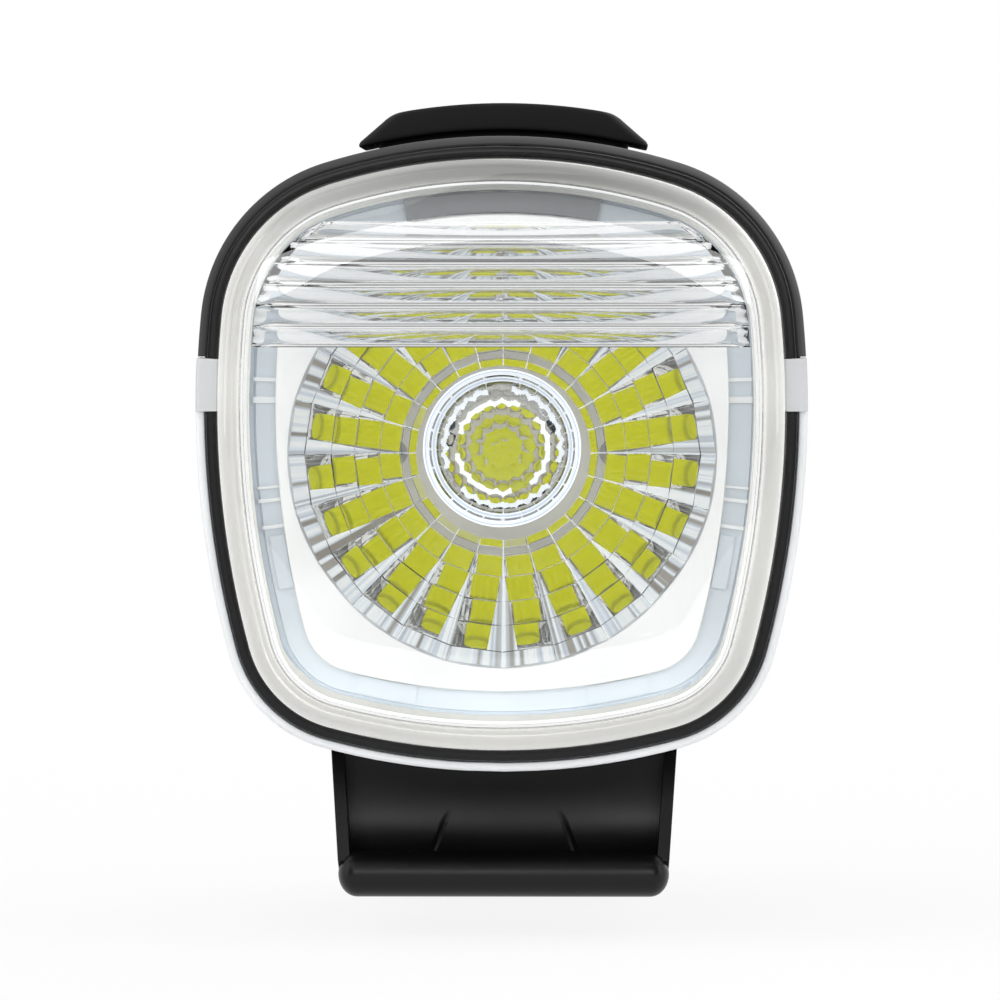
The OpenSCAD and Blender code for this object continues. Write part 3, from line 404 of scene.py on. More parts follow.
# Facets too steep to show the emitter: painted reflection, a glowing colour broken into silver streaks in place of the
# white plate they throw back
RIM_FACET_PAINTED_REFLECTION = moulded("clear_optic_facets_painted_silver_reflection", "e6eaf0", 0.25, 0.25, 0.003, 0.6, **{"Emission Strength": 0.36})
painted_reflection_streaks(RIM_FACET_PAINTED_REFLECTION, 85, ((0.3, "8f8a84"), (0.4, "dfe6f0"), (0.5, "fbfdff"), (0.58, "d3dbe8"), (0.68, "a29d97")))
# Satin grey pad at the top of the light guide: a grey piece put there as painted shade
GREY_PAD_PAINTED_SHADE = moulded("grey_abs_satin_painted_shade", "8e9093", 0.45, 0.2, 0.003)
# Translucent silicone: a warm grey edge seen through the lens wall
GASKET = moulded("translucent_silicone_gasket", "f4f4f1", 0.5, 0.2, 0.002)
# Phosphor in silicone: the strong yellow that fills the facets, with a painted glow that partly stands in for its real
# fluorescence under the lamps
PHOSPHOR = moulded("yellow_phosphor_in_silicone", "c8ca00", 0.6, 0.05, 0.003, 0.05, **{
    "Emission Color": linear("c8ca00"), "Emission Strength": 0.55})
# The same phosphor's flat front, seen straight through the dome: a deeper copy with a weaker painted glow
PHOSPHOR_FACE = moulded("yellow_phosphor_flat_front", "c4c600", 0.6, 0.05, 0.003, 0.05, **{
    "Emission Color": linear("c8ca00"), "Emission Strength": 0.15})
# White ceramic under the emitter
CERAMIC = moulded("white_ceramic_fired", "b5ac9c", 0.5, 0.08, 0.002)
# White solder mask over aluminium
WHITE_MASK = moulded("white_solder_mask_on_aluminium", "dedbd5", 0.4, 0.3, 0.002)
# Die-cast and satin blasted aluminium
ALUMINIUM = moulded("aluminium_die_cast_blasted", "b9babd", 0.38, 0.15, 0.004, Metallic=1.0)
# Zinc-plated steel
STEEL = moulded("steel_zinc_plated", "adadb0", 0.28, 0.4, 0.002, Metallic=1.0)
# Dark grey moulded frame inside
CHASSIS = moulded("grey_abs_moulded", "4a4a4c", 0.55, 0.2, 0.004)
# Heat-shrunk sleeve: tight and glossy
SLEEVE = moulded("blue_pvc_heat_shrunk", "3c78b4", 0.3, 0.8, 0.004)
# Closed-cell foam: small pits
FOAM = moulded("grey_foam_closed_cell", "3a3a3b", 0.85, 0.35, 0.06)
# Wire insulation
RED_PVC = moulded("red_pvc_extruded", "a8201c", 0.4, 0.6, 0.002)
BLACK_PVC = moulded("black_pvc_extruded", "1a1a1b", 0.4, 0.6, 0.002)
# Green solder mask
GREEN_MASK = moulded("green_solder_mask_on_glass_epoxy", "10623a", 0.35, 0.4, 0.003)
# Switch housing
SWITCH = moulded("dark_nylon_moulded", "242425", 0.5, 0.2, 0.003)

# Carried-over nodes, each with the edge radius its moulding or machining leaves
CARRIED = {
    "lens_gasket": (GASKET, 0), "led_board": (WHITE_MASK, 0),
    "heat_sink": (ALUMINIUM, 0.15), "parting_seal": (BLACK_SILICONE, 0),
    "shell_screws": (STEEL, 0.1), "inner_chassis": (CHASSIS, 0.1), "battery_cell": (SLEEVE, 0.2),
    "battery_rests": (FOAM, 0), "battery_end_pads": (FOAM, 0), "battery_leads": (RED_PVC, 0),
    "led_leads": (BLACK_PVC, 0), "main_board": (GREEN_MASK, 0), "tact_switch": (SWITCH, 0.1),
    "switch_cap": (SWITCH, 0.1), "usb_socket": (STEEL, 0), "usb_cover": (BLACK_SILICONE, 0.2),
    "mount_shoe": (BLACK_NYLON, 0.2), "shoe_screws": (STEEL, 0.1), "bracket_base": (BLACK_NYLON, 0.25),
    "saddle_pad": (BLACK_SILICONE, 0.2), "lever_pins": (STEEL, 0.1),
}
for name, (material, radius) in CARRIED.items():
    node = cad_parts[name]
    node.data.materials.clear()
    node.data.materials.append(material)
    weld = node.modifiers.new("weld", "WELD")
    weld.merge_threshold = 0.002 * MM
    if radius:
        soften(node, radius, 35)

# Lens: a rounded shell with a slightly domed face and six flutes inside its upper half
LENS_SEAT, LENS_REACH, LENS_CROWN = 4.0, 3.6, 0.9
LENS_OUT, LENS_IN, LENS_EDGE_R, LENS_INNER_R = 1.75, 3.55, 1.6, 0.8
LENS_FACE_T = 1.6
CROWN_START, CROWN_RUN = 74, 6.0
CROWN_FROM = LENS_OUT + LENS_EDGE_R * (1 - math.cos(math.radians(CROWN_START)))
FLUTES, FLUTE_PITCH, FLUTE_LOW = 6, 1.54, 8.15
FLUTE_PAD, FLUTE_DEPTH, FLUTE_MITRE, FLUTE_GROOVE = 0.3, 0.5, 0.9, 0.14
FLUTE_PARTS = (0, 0.045, 0.13, 0.24, 0.37, 0.5, 0.63, 0.76, 0.87, 0.955)
FACE_COLUMNS = (0.012, 0.025, 0.04, 0.06, 0.09, 0.14, 0.22, 0.32, 0.42, 0.5)


def inset_of(x, h):
    """How far a point lies inside the rim."""
    found = []
    for c, r, start, end in ARCS:
        across, up = abs(x) - c[0], h - c[1]
        if start <= math.degrees(math.atan2(across, up)) <= end:
            found.append(r - math.hypot(across, up))
    return min(found, default=HALF_W)


def crown_at(inset):
    run = max(0, min(1, (inset - CROWN_FROM) / CROWN_RUN))
    return -LENS_CROWN * (1 - (1 - run) ** 2)


def inner_relief(x, h, end):
    """Depth of the lens's inner face: the crown of the outer face, with the flutes standing in from it."""
    base = crown_at(inset_of(x, h)) - crown_at(LENS_IN + LENS_INNER_R)
    part = (h - FLUTE_LOW) / FLUTE_PITCH
    if part < 0 or part > FLUTES:
        return base
    across = part % 1 if part < FLUTES else 0
    crest = FLUTE_PAD + FLUTE_DEPTH * math.sin(math.pi * across)
    if min(across, 1 - across) < 0.01:
        crest -= FLUTE_GROOVE
    return base + min(crest, (end - abs(x)) * FLUTE_MITRE)


def cap(bm, loop, half, relief):
    """Rows across a loop from each right side vertex to its mirror image on the left."""
    shares = list(FACE_COLUMNS) + [1 - s for s in FACE_COLUMNS[-2::-1]]
    rows = []
    for i in range(half + 1):
        right, left = loop[i], loop[-i]
        if i in (0, half):
            rows.append([loop[i]] * (len(shares) + 2))
            continue
        inner = []
        for s in shares:
            at = left.co.lerp(right.co, s)
            depth = relief(at.x / MM, at.z / MM - AXIS_Z, right.co.x / MM)
            inner.append(bm.verts.new(at + Vector((0, depth * MM, 0))))
        rows.append([left] + inner + [right])
    skin(bm, rows, False)


def quarter(count, last=90):
    return [math.radians(last * i / count) for i in range(count + 1)]


def build_lens():
    face_inset = LENS_IN + LENS_INNER_R
    flute_top = FLUTE_LOW + FLUTES * FLUTE_PITCH
    levels = [polar(c, r - face_inset, a)[1] for c, r, a in marks_by_angle()]
    levels = [h for h in levels if not FLUTE_LOW - 0.3 < h < flute_top + 0.3]
    levels += [FLUTE_LOW + FLUTE_PITCH * (k + p) for k in range(FLUTES) for p in FLUTE_PARTS]
    levels += [FLUTE_LOW - 0.02, flute_top, flute_top + 0.02]
    half_marks = [mark_at(h, face_inset) for h in sorted(levels, reverse=True)]
    marks = mirrored(half_marks)
    half = len(half_marks) - 1
    edge = [(LENS_OUT + LENS_EDGE_R * (1 - math.cos(a)), -LENS_REACH + LENS_EDGE_R * (1 - math.sin(a)))
            for a in quarter(9, CROWN_START)]
    crown = [(CROWN_FROM + CROWN_RUN * i / 7, edge[-1][1] + crown_at(CROWN_FROM + CROWN_RUN * i / 7))
             for i in range(1, 8)]
    inner_face = -LENS_REACH + LENS_FACE_T + crown_at(LENS_IN + LENS_INNER_R)
    fillet = [(LENS_IN + LENS_INNER_R * (1 - math.cos(a)), inner_face + LENS_INNER_R * (1 - math.sin(a)))
              for a in quarter(6)]
    outer = [(LENS_OUT, LENS_SEAT)] + edge + crown
    inner = [(LENS_IN, LENS_SEAT)] + fillet
    bm = bmesh.new()
    rows = rows_of(bm, [[rim_point(m, o, u) for m in marks] for o, u in outer[::-1] + inner])
    skin(bm, rows, True)
    bm.faces.ensure_lookup_table()
    # The wall's faces take the blasted wall with its painted glow and painted shade
    for face in bm.faces[(len(outer) - 1) * len(marks):(len(outer) + 1) * len(marks)]:
        face.material_index = 1
    cap(bm, rows[0], half, lambda x, h, end: 0)
    before = len(bm.faces)
    cap(bm, rows[-1], half, inner_relief)
    bm.faces.ensure_lookup_table()
    for face in bm.faces[before:]:
        if FLUTE_LOW < face.calc_center_median().z / MM - AXIS_Z < flute_top:
            face.material_index = 2
    return piece("front_lens_moulding", bm, (CLEAR_LENS, LENS_WALL_PAINTED_GLOW, CLEAR_FLUTES), "lamp",
                 ["front_lens"], 28)


build_lens()

# Collimator: sectors and rows of flat facets, each row tipped so that it shows the emitter
OPTIC_R, OPTIC_FRONT, OPTIC_EDGE_T = 16.0, 3.3, 0.3
OPTIC_IOR = 1.58
SECTORS, ROUND, DOME_ROWS = 24, 240, 56
ROW_R = (16.0, 14.9, 13.0, 11.25, 9.4, 7.85, 7.2, 6.6)
BOARD_U = 15.0
CAVITY_R, CAVITY_TOP = 3.3, 9.6
# Depth on the axis that each row shows; a row without one is a flat step that shows the board
ROW_AIM_U = (20.0, 12.8, 13.0, 12.8, 13.0, None, 12.8)
FACET_LEAN = 0.012
WELL_SHIFT = (0.0, 0.5)
WELL_MOUTH_R, WELL_FLOOR_R, WELL_FLOOR_U = 5.95, 4.7, 7.0
WELL_STEPS = 4
# Finish of each ring of the well from its mouth down: 0 polished, 1 blasted wall with a painted glow, 2 blasted ledge
# with a weaker painted glow
WELL_FINISH_AND_GLOW = (1, 2, 1, 1, 0, 1, 2, 1, 0)
DOME_RISE = 2.1
BUMP_PITCH, BUMP_RISE = 0.98, 0.165
# Rings of pillows whose seams are painted as glowing white highlights, and how wide the seams are
PAINTED_SPARKLE_RINGS, PAINTED_SPARKLE_W = (3, 4), 0.32
SEAM_W, SEAM_D = 0.07, 0.05
# Wedge along the lower side of each sector, from a radius outwards, that takes the painted silver reflection
WEDGE_W, WEDGE_FROM, WEDGE_SIDE = 1.35, 9.0, 4.0


def facet_slope(r, u, target):
    """Slope du/dr of a facet that sends a ray along the axis to the target, through the cavity's wall."""
    low, high = target - 9, target + 4
    for _ in range(40):
        exit_u = (low + high) / 2
        dip = math.atan2(exit_u - u, r - CAVITY_R)
        bent = max(-0.999, min(0.999, OPTIC_IOR * math.sin(dip)))
        if exit_u + CAVITY_R * bent / math.sqrt(1 - bent * bent) > target:
            high = exit_u
        else:
            low = exit_u
    return -math.cos(dip) / (1 - math.sin(dip))


# Centres of the dome's pillows, ring by ring
BUMPS = [[(0, 0)]] + [[polar((0, 0), BUMP_PITCH * k, 60 * i / k + 13 * k) for i in range(6 * k)]
                      for k in range(1, 6)]


def nearest(ring, x, h):
    return min(math.hypot(x - a, h - b) for a, b in BUMPS[ring])


def bump_height(x, h):
    near = min(nearest(k, x, h) for k in range(len(BUMPS)))
    grown = 0.8 + 0.2 * math.hypot(x, h) / WELL_FLOOR_R
    return BUMP_RISE * grown * (1 - (near / (BUMP_PITCH * 0.58)) ** 2)


def painted_sparkle(x, h):
    """Whether a spot lies in a seam between two rings of pillows that is painted as a glowing white highlight; the
    seams break off in places.
    """
    for k in PAINTED_SPARKLE_RINGS:
        inner, outer = nearest(k, x, h), nearest(k + 1, x, h)
        if abs(inner - outer) < PAINTED_SPARKLE_W and inner < BUMP_PITCH:
            return math.sin(3 * math.atan2(x, h) + 2 * k) < 0.8
    return False


def build_optic():
    bm = bmesh.new()
    flat = []
    profile = [(OPTIC_R, OPTIC_FRONT), (ROW_R[0], OPTIC_FRONT + OPTIC_EDGE_T)]
    for r0, r1, target in zip(ROW_R, ROW_R[1:], ROW_AIM_U):
        u0 = profile[-1][1]
        slope = 0
        if target:
            slope = facet_slope(r0, u0, target)
            slope = facet_slope((r0 + r1) / 2, u0 + slope * (r1 - r0) / 2, target)
        profile.append((r1, min(BOARD_U - 0.05, u0 + slope * (r1 - r0))))
    outer = [circle(bm, r, u, SECTORS) for r, u in profile]
    skin(bm, outer, True)
    foot = [circle(bm, CAVITY_R, profile[-1][1], ROUND), circle(bm, CAVITY_R, CAVITY_TOP + 0.4, ROUND),
            circle(bm, CAVITY_R - 0.12, CAVITY_TOP + 0.12, ROUND),
            circle(bm, CAVITY_R - 0.4, CAVITY_TOP, ROUND), circle(bm, 0, CAVITY_TOP, ROUND)]
    skin(bm, foot, True)
    well = [circle(bm, WELL_MOUTH_R, OPTIC_FRONT, ROUND, WELL_SHIFT),
            circle(bm, WELL_MOUTH_R - 0.12, OPTIC_FRONT + 0.04, ROUND, WELL_SHIFT)]
    ledge = (WELL_MOUTH_R - 0.25 - WELL_FLOOR_R) / WELL_STEPS
    drop = (WELL_FLOOR_U - OPTIC_FRONT - 0.3) / WELL_STEPS
    for k in range(WELL_STEPS):
        r, u = WELL_MOUTH_R - 0.2 - ledge * k, OPTIC_FRONT + 0.15 + drop * k
        well += [circle(bm, r, u, ROUND, WELL_SHIFT),
                 circle(bm, r - 0.6 * ledge, u + 0.85 * drop, ROUND, WELL_SHIFT)]
    first = len(bm.faces)
    for i in range(DOME_ROWS + 1):
        r = WELL_FLOOR_R * (1 - i / DOME_ROWS)
        base = WELL_FLOOR_U - DOME_RISE * (1 - (r / WELL_FLOOR_R) ** 2)
        ring = circle(bm, r, base, ROUND, WELL_SHIFT)
        for v in set(ring):
            x, h = v.co.x / MM - WELL_SHIFT[0], v.co.z / MM - AXIS_Z - WELL_SHIFT[1]
            v.co.y -= max(0, bump_height(x, h)) * min(1, (WELL_FLOOR_R - r) / 0.4) * MM
        well.append(ring)
    skin(bm, well, True)
    bm.faces.ensure_lookup_table()
    walls = ROUND * (2 * WELL_STEPS + 1)
    for n, face in enumerate(bm.faces[first:first + walls]):
        face.material_index = WELL_FINISH_AND_GLOW[n // ROUND]
    # Painted highlights: seams between rings of pillows take the glowing wall
    for face in bm.faces[first + walls + ROUND:first + ROUND * (len(well) - 1)]:
        at = face.calc_center_median()
        if painted_sparkle(at.x / MM - WELL_SHIFT[0], at.z / MM - AXIS_Z - WELL_SHIFT[1]):
            face.material_index = 1
    for wide, narrow in ((outer[0], well[0]), (outer[-1], foot[0])):
        step = ROUND // SECTORS
        for i in range(SECTORS):
            arc = [narrow[(i * step + k) % ROUND] for k in range(step + 1)]
            flat.append(bm.faces.new([wide[i], wide[(i + 1) % SECTORS]] + arc[::-1]))
    bm.faces.ensure_lookup_table()
    facets = bm.faces[SECTORS:SECTORS * (len(profile) - 1)]
    bmesh.ops.recalc_face_normals(bm, faces=bm.faces[:])
    axis = Vector((0, 0, AXIS_Z * MM))
    seams = bmesh.ops.inset_individual(bm, faces=facets, thickness=SEAM_W * MM, depth=SEAM_D * MM)
    for n, face in enumerate(facets):
        mid, normal = face.calc_center_median(), face.normal.copy()
        out = Vector((mid.x, 0, mid.z - AXIS_Z * MM)).normalized()
        along = Vector((out.z, 0, -out.x))
        lean = out * math.sin(2.4 * n) + along * math.sin(1.7 * n + 1)
        down = along if along.z < 0 else -along
        for v in face.verts:
            part = (out.dot(v.co - axis) / MM - WEDGE_FROM) / (OPTIC_R - WEDGE_FROM)
            if n >= SECTORS and down.dot(v.co - mid) > 0:
                v.co -= down * WEDGE_W * max(0, part) * MM
            v.co += normal * FACET_LEAN * lean.dot(v.co - mid)
    # The outer row of facets takes the painted silver reflection, and so do the seams along each sector's wedge
    for face in facets[:SECTORS]:
        face.material_index = 3
    for face in seams["faces"]:
        at = face.calc_center_median() - axis
        if math.degrees(math.atan2(abs(at.x), -at.z)) % (360 / SECTORS) < WEDGE_SIDE:
            face.material_index = 3
    flat += facets + seams["faces"] + bm.faces[:SECTORS]
    return piece("collimator_facets", bm, (CLEAR_OPTIC, WELL_WALL_PAINTED_GLOW, WELL_LEDGE_PAINTED_GLOW, RIM_FACET_PAINTED_REFLECTION), "lamp",
                 ["collimator_lens"], 25, flat)


build_optic()

# White plate round the optic, with a ledge under the optic's rim
PLATE_FRONT, PLATE_BACK, PLATE_INSET, HOLE_R, LEDGE_R = 3.5, 4.68, 5.98, 16.05, 15.7


def build_plate():
    bm = bmesh.new()
    marks = mirrored(marks_by_angle())
    rims = ((PLATE_INSET, PLATE_BACK), (PLATE_INSET, PLATE_FRONT + 0.2), (PLATE_INSET + 0.06, PLATE_FRONT + 0.06),
            (PLATE_INSET + 0.2, PLATE_FRONT))
    rows = [[rim_point(m, o, u) for m in marks] for o, u in rims]
    turned = ((HOLE_R + 0.06, PLATE_FRONT), (HOLE_R, PLATE_FRONT + 0.06), (HOLE_R, PLATE_BACK - 0.05),
              (LEDGE_R, PLATE_BACK), (LEDGE_R, PLATE_BACK + 0.15), (HOLE_R + 0.3, PLATE_BACK + 0.15))
    for r, u in turned:
        row = []
        for m in marks:
            at = rim_point(m, PLATE_INSET, 0)
            x, h = at.x / MM, at.z / MM - AXIS_Z
            row.append(lamp(x * r / math.hypot(x, h), u, h * r / math.hypot(x, h)))
        rows.append(row)
    rows = rows_of(bm, rows)
    skin(bm, rows + rows[:1], True)
    return piece("reflector_plate_moulding", bm, WHITE_PLATE, "lamp", ["reflector_plate"])


build_plate()

# Emitter: a phosphor cap on a square ceramic base, held between two countersunk screws
BASE_SIDE, BASE_T, CAP_R, CAP_TOP = 3.5, 0.7, 1.65, 10.9
LED_SCREW_X, LED_HEAD_R, LED_SHANK_R, LED_SCREW_END = 8.3, 1.0, 0.8, 18.0


def build_emitter():
    bm = bmesh.new()
    top = BOARD_U - BASE_T
    rings = [circle(bm, r, u, 40) for r, u in (
        (CAP_R, top), (CAP_R, CAP_TOP + 0.5), (CAP_R - 0.1, CAP_TOP + 0.2), (CAP_R - 0.35, CAP_TOP + 0.04),
        (CAP_R - 0.7, CAP_TOP), (0, CAP_TOP))]
    skin(bm, rings, True)
    bm.faces.new(rings[0])
    bm.faces.ensure_lookup_table()
    for face in bm.faces[40 * 1:40 * 5]:
        face.material_index = 1
    piece("led_phosphor_cap", bm, (PHOSPHOR, PHOSPHOR_FACE), "lamp", ["led_emitter"])
    bm = bmesh.new()
    half = BASE_SIDE / 2
    corners = ((1, 1), (1, -1), (-1, -1), (-1, 1))
    levels = ((top, half - 0.1), (top + 0.1, half), (BOARD_U, half))
    loft(bm, [[lamp(x * s, u, h * s) for x, h in corners] for u, s in levels])
    piece("led_ceramic_base", bm, CERAMIC, "lamp", (), 20)
    bm = bmesh.new()
    for side in (1, -1):
        spot = (side * LED_SCREW_X, 0)
        rings = [circle(bm, r, u, 32, spot) for r, u in (
            (0, BOARD_U + 0.35), (0.5, BOARD_U + 0.35), (0.6, BOARD_U - 0.02), (LED_HEAD_R, BOARD_U - 0.02),
            (LED_SHANK_R, BOARD_U + 0.6), (LED_SHANK_R, LED_SCREW_END), (0, LED_SCREW_END))]
        skin(bm, rings, True)
    piece("led_screws_countersunk", bm, STEEL, "lamp", ["led_screws"])


build_emitter()

# Bezel and light guide follow the rim; the guide comes out as the band round the lower half
BLOCK_TOP, BLOCK_LOW = 7.3, 3.3
BLOCK_BACK = 3.0
FLANGE_U, FLANGE_BACK = 4.7, 6.0
BEZEL_OUT, BEZEL_IN = 0.75, 1.65


def bezel_profile(front):
    return [(BEZEL_OUT, FLANGE_U), (BEZEL_OUT, front + 0.3), (BEZEL_OUT + 0.08, front + 0.08),
            (BEZEL_OUT + 0.25, front), (BEZEL_IN - 0.25, front), (BEZEL_IN - 0.08, front + 0.08),
            (BEZEL_IN, front + 0.3), (BEZEL_IN, FLANGE_U)]


def over_top(h):
    left = marks_between(polar(*marks_by_angle()[0])[1] - 0.001, h, -1)
    right = marks_between(polar(*marks_by_angle()[0])[1] - 0.001, h, 1)
    return left[::-1] + right[1:]


def under(h):
    bottom = polar(*marks_by_angle()[-1])[1] + 0.001
    right = marks_between(h, bottom, 1)
    left = marks_between(h, bottom, -1)
    return right + left[::-1][1:]


def build_bezel():
    bm = bmesh.new()
    sweep(bm, over_top(BLOCK_TOP + 0.08), bezel_profile(0), False)
    sweep(bm, under(BLOCK_LOW - 0.08), bezel_profile(0), False)
    for side in (1, -1):
        sweep(bm, marks_between(BLOCK_TOP + 0.07, BLOCK_LOW - 0.07, side),
              bezel_profile(BLOCK_BACK + 0.05), False)
    return piece("bezel_ring", bm, BLACK_GLOSS, "lamp", ["front_bezel"])


build_bezel()

LIP_IN, RING_OUT, RING_IN = 0.7, 1.76, 6.85
LIP = [(0, FLANGE_BACK), (0, 0.8), (0.06, 0.55), (0.2, 0.42), (0.45, 0.4), (0.62, 0.48), (LIP_IN, 0.75),
       (LIP_IN, FLANGE_U), (RING_OUT - 0.02, FLANGE_U), (RING_OUT - 0.02, FLANGE_BACK)]
BLOCK = [(0, FLANGE_BACK), (0, 0.4), (0.1, 0.14), (0.3, 0), (1.35, 0), (1.55, 0.08), (1.65, 0.3),
         (1.65, BLOCK_BACK), (LIP_IN, BLOCK_BACK), (LIP_IN, FLANGE_U), (RING_OUT - 0.02, FLANGE_U),
         (RING_OUT - 0.02, FLANGE_BACK)]
# Ribs and pads on the guide's ring: height range, inset range and rise, both sides
RIBS = ((5.95, 5.65, 4.4, 6.2, 0.25), (4.4, 3.9, 4.4, 6.2, 0.25), (-2.85, -3.05, 4.4, 6.2, 0.25),
        (-3.85, -4.15, 4.4, 6.2, 0.25), (-6.0, -6.3, 4.4, 6.2, 0.25), (-6.9, -11.2, 4.75, 5.95, 0.3))
GROOVE_U = 5.0
LOW_PAD_X = (6.5, 11.0)


def build_guide():
    bm = bmesh.new()
    ring = [(RING_OUT, FLANGE_U), (4.2, FLANGE_U), (4.25, GROOVE_U), (4.4, GROOVE_U), (4.5, FLANGE_U),
            (5.96, FLANGE_U), (6.0, GROOVE_U), (RING_IN, GROOVE_U), (RING_IN, FLANGE_BACK), (RING_OUT, FLANGE_BACK)]
    sweep(bm, mirrored(marks_by_angle()), ring, True)
    # The ring takes its moulding with painted shade above, its first face the seat with painted light and shade
    for n, face in enumerate(bm.faces):
        face.material_index = 1 if n % len(ring) else 3
    sweep(bm, under(BLOCK_LOW), LIP, False)
    for side in (1, -1):
        before = len(bm.faces)
        sweep(bm, marks_between(BLOCK_TOP, BLOCK_LOW, side), BLOCK, False)
        bm.faces.ensure_lookup_table()
        # End blocks take the copy of the resin with painted shade
        for face in bm.faces[before:]:
            face.material_index = 2
        for h0, h1, o0, o1, rise in RIBS:
            profile = [(o0, FLANGE_U + 0.01), (o0, FLANGE_U - rise + 0.08), (o0 + 0.08, FLANGE_U - rise),
                       (o1 - 0.08, FLANGE_U - rise), (o1, FLANGE_U - rise + 0.08), (o1, FLANGE_U + 0.01)]
            before = len(bm.faces)
            sweep(bm, marks_between(h0, h1, side), profile, False)
            bm.faces.ensure_lookup_table()
            for face in bm.faces[before:]:
                face.material_index = int(h0 - h1 > 1)
        before = len(bm.faces)
        c, r = ARCS[-1][0], ARCS[-1][1]
        low_pad = [math.degrees(math.asin(x / (r - 5))) for x in LOW_PAD_X]
        marks = [((c, r, 180 - low_pad[0] - (low_pad[1] - low_pad[0]) * i / 12), side) for i in range(13)]
        sweep(bm, marks, [(4.6, FLANGE_U + 0.01), (4.6, FLANGE_U - 0.2), (5.9, FLANGE_U - 0.2), (5.9, FLANGE_U + 0.01)], False)
        bm.faces.ensure_lookup_table()
        for face in bm.faces[before:]:
            face.material_index = 1
    return piece("light_guide_frosted", bm, (FROSTED, FROSTED_RING, FROSTED_BLOCK_PAINTED_SHADE, FROSTED_SEAT), "lamp",
                 ["side_light_guide"])


build_guide()

# A grey pad across the top of the guide's ring, as painted shade
PAD_HALF, TOP_PAD = 7.4, [(4.3, FLANGE_U - 0.01), (4.3, 4.35), (4.4, 4.25), (5.8, 4.25), (5.9, 4.35),
                          (5.9, FLANGE_U - 0.01)]


def build_painted_shade_top_pad():
    c, r = ARCS[0][0], ARCS[0][1]
    end = math.degrees(math.asin(PAD_HALF / (r - TOP_PAD[0][0])))
    right = [((c, r, end * i / 12), 1) for i in range(13)]
    left = [((c, r, end * i / 12), -1) for i in range(12, 0, -1)]
    bm = bmesh.new()
    sweep(bm, left + right, TOP_PAD, False)
    return piece("painted_shade_top_pad", bm, GREY_PAD_PAINTED_SHADE, "lamp")


build_painted_shade_top_pad()

# Shells: smooth halves of the body, open for the button, the port and the screws
TAPER_U, ROUND_U, END_U, SHELL_U = 28.0, 62.8, 66.0, 6.1
TAPER, REAR_R, WALL = 3.5, 3.2, 1.6
SPLIT_LOW, SPLIT_HIGH = 7.0, 7.4
BELLY_FROM, BELLY_TO, BODY_BOTTOM, BELLY_ROUND = 9.1, 16.3, -16.5, 1.8
RIM_BOTTOM = polar(*marks_by_angle()[-1])[1]
BOSSES = ((14.6, 26), (-14.6, 26), (13.9, 54), (-13.9, 54))
BOSS_R, HEAD_HOLE_R, SHANK_HOLE_R, SCREW_SEAT = 2.6, 1.95, 1.2, -4
SOCKET_H, PORT_HALF = 10.27, (4.79, 1.95)
LUG_X, LUG_T, LUG_R, TRUNNION_R = 6.8, 1.5, 1.2, 0.55
HINGE_U, HINGE_H = 66.95, 14.3


def belly_at(u):
    part = max(0, min(1, (u - BELLY_FROM) / (BELLY_TO - BELLY_FROM)))
    return RIM_BOTTOM - WALL + (BODY_BOTTOM - RIM_BOTTOM + WALL) * part


def half_loop(u, o, split, floor, upper):
    """One cross section of an upper or lower half, closed by its parting line."""
    arcs, steps = (ARCS[:3], (12, 26, 4)) if upper else (ARCS[2:], (26, 24, 12))
    right = []
    for k, ((c, r, start, end), count) in enumerate(zip(arcs, steps)):
        parting = math.degrees(math.acos((split - c[1]) / (r - o))) if r == SIDE_R else 0
        if r == SIDE_R and upper:
            end = parting
        elif r == SIDE_R:
            start = parting
        right += [polar(c, r - o, start + (end - start) * i / count) for i in range(count + (k == 2))]
    rounded_up = []
    for x, h in right:
        near = max(0, 1 - abs(h - floor) / BELLY_ROUND)
        rounded_up.append((x, max(h, floor) + BELLY_ROUND * near * near / 4))
    left = [(-x, h) for x, h in rounded_up[::-1] if abs(x) > 1e-6]
    return [lamp(x, u, h) for x, h in rounded_up + left]


def body_rings(front, inset):
    """(depth, inset, rise of the belly) from the front to the rounded rear end."""
    stops = [front] + [u for u in (9.1, 10.3, 11.5, 12.7, 13.9, 15.1, 16.3, TAPER_U) if u > front]
    rings = [(u, inset, 0) for u in stops]
    r = REAR_R - inset
    for a in quarter(7):
        rings.append((END_U - inset - r + r * math.sin(a), TAPER + inset + r * (1 - math.cos(a)),
                      r * (1 - math.cos(a))))
    return rings


